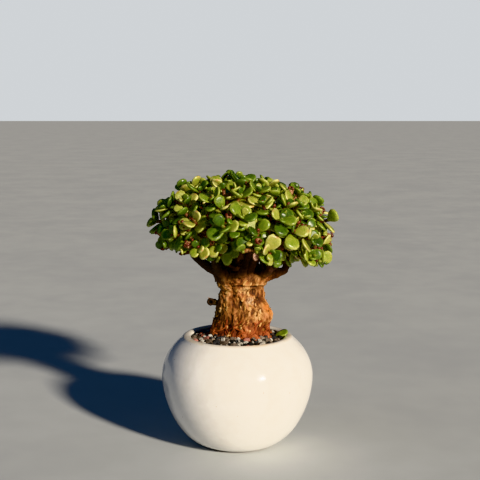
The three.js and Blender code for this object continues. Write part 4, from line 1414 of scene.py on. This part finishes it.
knob_skin, tree, shader, place = new_material("knob_skin", IOR=1.45, Specular_IOR_Level=0.3)
scars = mottled(tree, place, 800.0, 0.6)
stem_part = paints(tree, scars["Mask"], (0, "351612"), (0.5, "652f27"), (1, "95624c"))
end_part = paints(tree, scars["Mask"], (0, "45231a"), (0.45, "8d5c42"), (1, "d3b08c"))
end_share = span(tree, carried(tree, "end"), 0.68, 0.86)
knob_colour = mix_paint(tree, end_share, stem_part, end_part)
finish_grained(tree, shader, knob_colour, scars, 0.6, 0.85, 0.3 * MM)

knob.data.materials.append(knob_skin)
for master in leaf_masters:
    master.data.materials.append(leaf_skin)
young_stem.data.materials.append(stem_skin)
bud.data.materials.append(bud_skin)

KNOB_BUDS = 3
MAROON_TONE = 0.9
inner_names = [f"inner_spray_{j + 1:02d}" for j in range(len(filler_sprays))]
for name, spray, leaves in zip(spray_names + inner_names, all_sprays, grown):
    pieces = [copy_to(young_stem, stem_matrix(spray["base"], spray["fork"]), look.random())]
    for shoot in spray["shoots"] + spray["side_shoots"]:
        pieces.append(copy_to(young_stem, stem_matrix(shoot["from"], shoot["to"]), look.random()))
        bud_end = shoot["to"] + shoot["heading"] * MASTER_LENGTH * look.uniform(0.6, 1.1)
        pieces.append(copy_to(bud, stem_matrix(shoot["to"], bud_end), look.random()))
    if "knob" in spray:
        pieces.append(copy_to(knob, stem_matrix(spray["fork"], spray["knob"]), 0.5))
        for lean in range(KNOB_BUDS):
            turn = 2 * math.pi * (lean + look.random() * 0.5) / KNOB_BUDS
            side = spray["axis"].orthogonal().normalized()
            side = (side * math.cos(turn) + spray["axis"].cross(side) * math.sin(turn)) * MM
            start = spray["knob"] + side * 1.1
            end_place = start + (side * 0.7 + spray["axis"] * 0.8 * MM) * look.uniform(2.6, 4.2)
            pieces.append(copy_to(bud, stem_matrix(start, end_place), MAROON_TONE))
    for leaf in leaves:
        pieces.append(copy_to(look.choice(leaf_masters), leaf_matrix(leaf), look.random()))
    dressed = join(f"leafy_{name}", pieces)
    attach(dressed, "root")
    if name in spray_names:
        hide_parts(name)

# ---- Shed leaf ----
# One leaf that has dropped off and lies on the grit against the rim, already turning yellow.
SHED_ROOT = Vector((22, -0.4, 64.9)) * MM
SHED_POINTING = Vector((7.6, 0.4, 1.9)).normalized()
SHED_ROLL = math.radians(18)
SHED_LENGTH = 8.4 * MM
SHED_TONE = 0.55

shed_across = Vector((0, 0, 1)).cross(SHED_POINTING).normalized()
shed_across.rotate(Matrix.Rotation(SHED_ROLL, 3, SHED_POINTING))
shed = leaf_frame(SHED_ROOT, SHED_POINTING, SHED_POINTING.cross(shed_across), SHED_LENGTH)
shed_leaf = join("dropped_leaf", [copy_to(leaf_masters[1], leaf_matrix(shed), SHED_TONE)])
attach(shed_leaf, "root")
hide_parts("shed_leaf")
for master in leaf_masters + [young_stem, bud, knob]:
    bpy.data.objects.remove(master)

# ---- Floor, light and camera ----
# A plain pale table, warm light from low on the right, a little cool light on the left, and a
# pale room.
CAMERA_PLACE = Vector((1.53, -565, 195)) * MM
CAMERA_PITCH = math.radians(7.36)
CAMERA_LENS = 72.75
TABLE_SIZE = 60
LAMP_AIM = Vector((0, 0, 0.1))

bpy.ops.object.select_all(action="DESELECT")
bpy.ops.mesh.primitive_plane_add(size=TABLE_SIZE)
floor = new_piece("table")
floor_paint, tree, shader, place = new_material("pale_table")
floor_patches = mottled(tree, place, 7.0)
floor_colour = paints(tree, floor_patches["Mask"], (0, "bfc3c4"), (1, "c6cacb"))
finish_grained(tree, shader, floor_colour, floor_patches, 0.75, 0.9, 0.05 * MM)
floor.data.materials.append(floor_paint)


def add_lamp(kind, name, place, power, colour, **settings):
    """A lamp at a place, turned towards the crown."""
    lamp_data = bpy.data.lights.new(name, kind)
    lamp_data.energy = power
    lamp_data.color = colour
    for setting, value in settings.items():
        setattr(lamp_data, setting, value)
    lamp = bpy.data.objects.new(name, lamp_data)
    bpy.context.scene.collection.objects.link(lamp)
    lamp.location = place
    lamp.rotation_euler = (LAMP_AIM - Vector(place)).to_track_quat("-Z", "Y").to_euler()


add_lamp("SUN", "warm_key", (0.57, -0.73, 0.47), 5.5, (1, 0.89, 0.74), angle=math.radians(5))
add_lamp("AREA", "cool_fill", (-0.9, -0.5, 0.5), 0.5, (0.36, 0.6, 1), shape="DISK", size=1.0)

world = bpy.data.worlds.new("pale_room")
world.use_nodes = True
world_tree = world.node_tree
room_light = world_tree.nodes["Background"]
room_light.inputs["Color"].default_value = paint("9dbcf0")
room_light.inputs["Strength"].default_value = 0.115
backdrop = add_node(world_tree, "ShaderNodeBackground", {"Color": paint("d5d9dc")})
seen = add_node(world_tree, "ShaderNodeLightPath").outputs["Is Camera Ray"]
room = add_node(world_tree, "ShaderNodeMixShader",
                {0: seen, 1: room_light.outputs[0], 2: backdrop.outputs[0]})
world_tree.links.new(room.outputs[0], world_tree.nodes["World Output"].inputs["Surface"])
bpy.context.scene.world = world
bpy.context.scene.view_settings.view_transform = "Khronos PBR Neutral"

camera_data = bpy.data.cameras.new("camera")
camera_data.lens = CAMERA_LENS
camera_data.sensor_width = 36
camera_data.clip_start = 0.01
camera = bpy.data.objects.new("camera", camera_data)
bpy.context.scene.collection.objects.link(camera)
camera.location = CAMERA_PLACE
camera.rotation_euler = (math.pi / 2 - CAMERA_PITCH, 0, 0)
bpy.context.scene.camera = camera
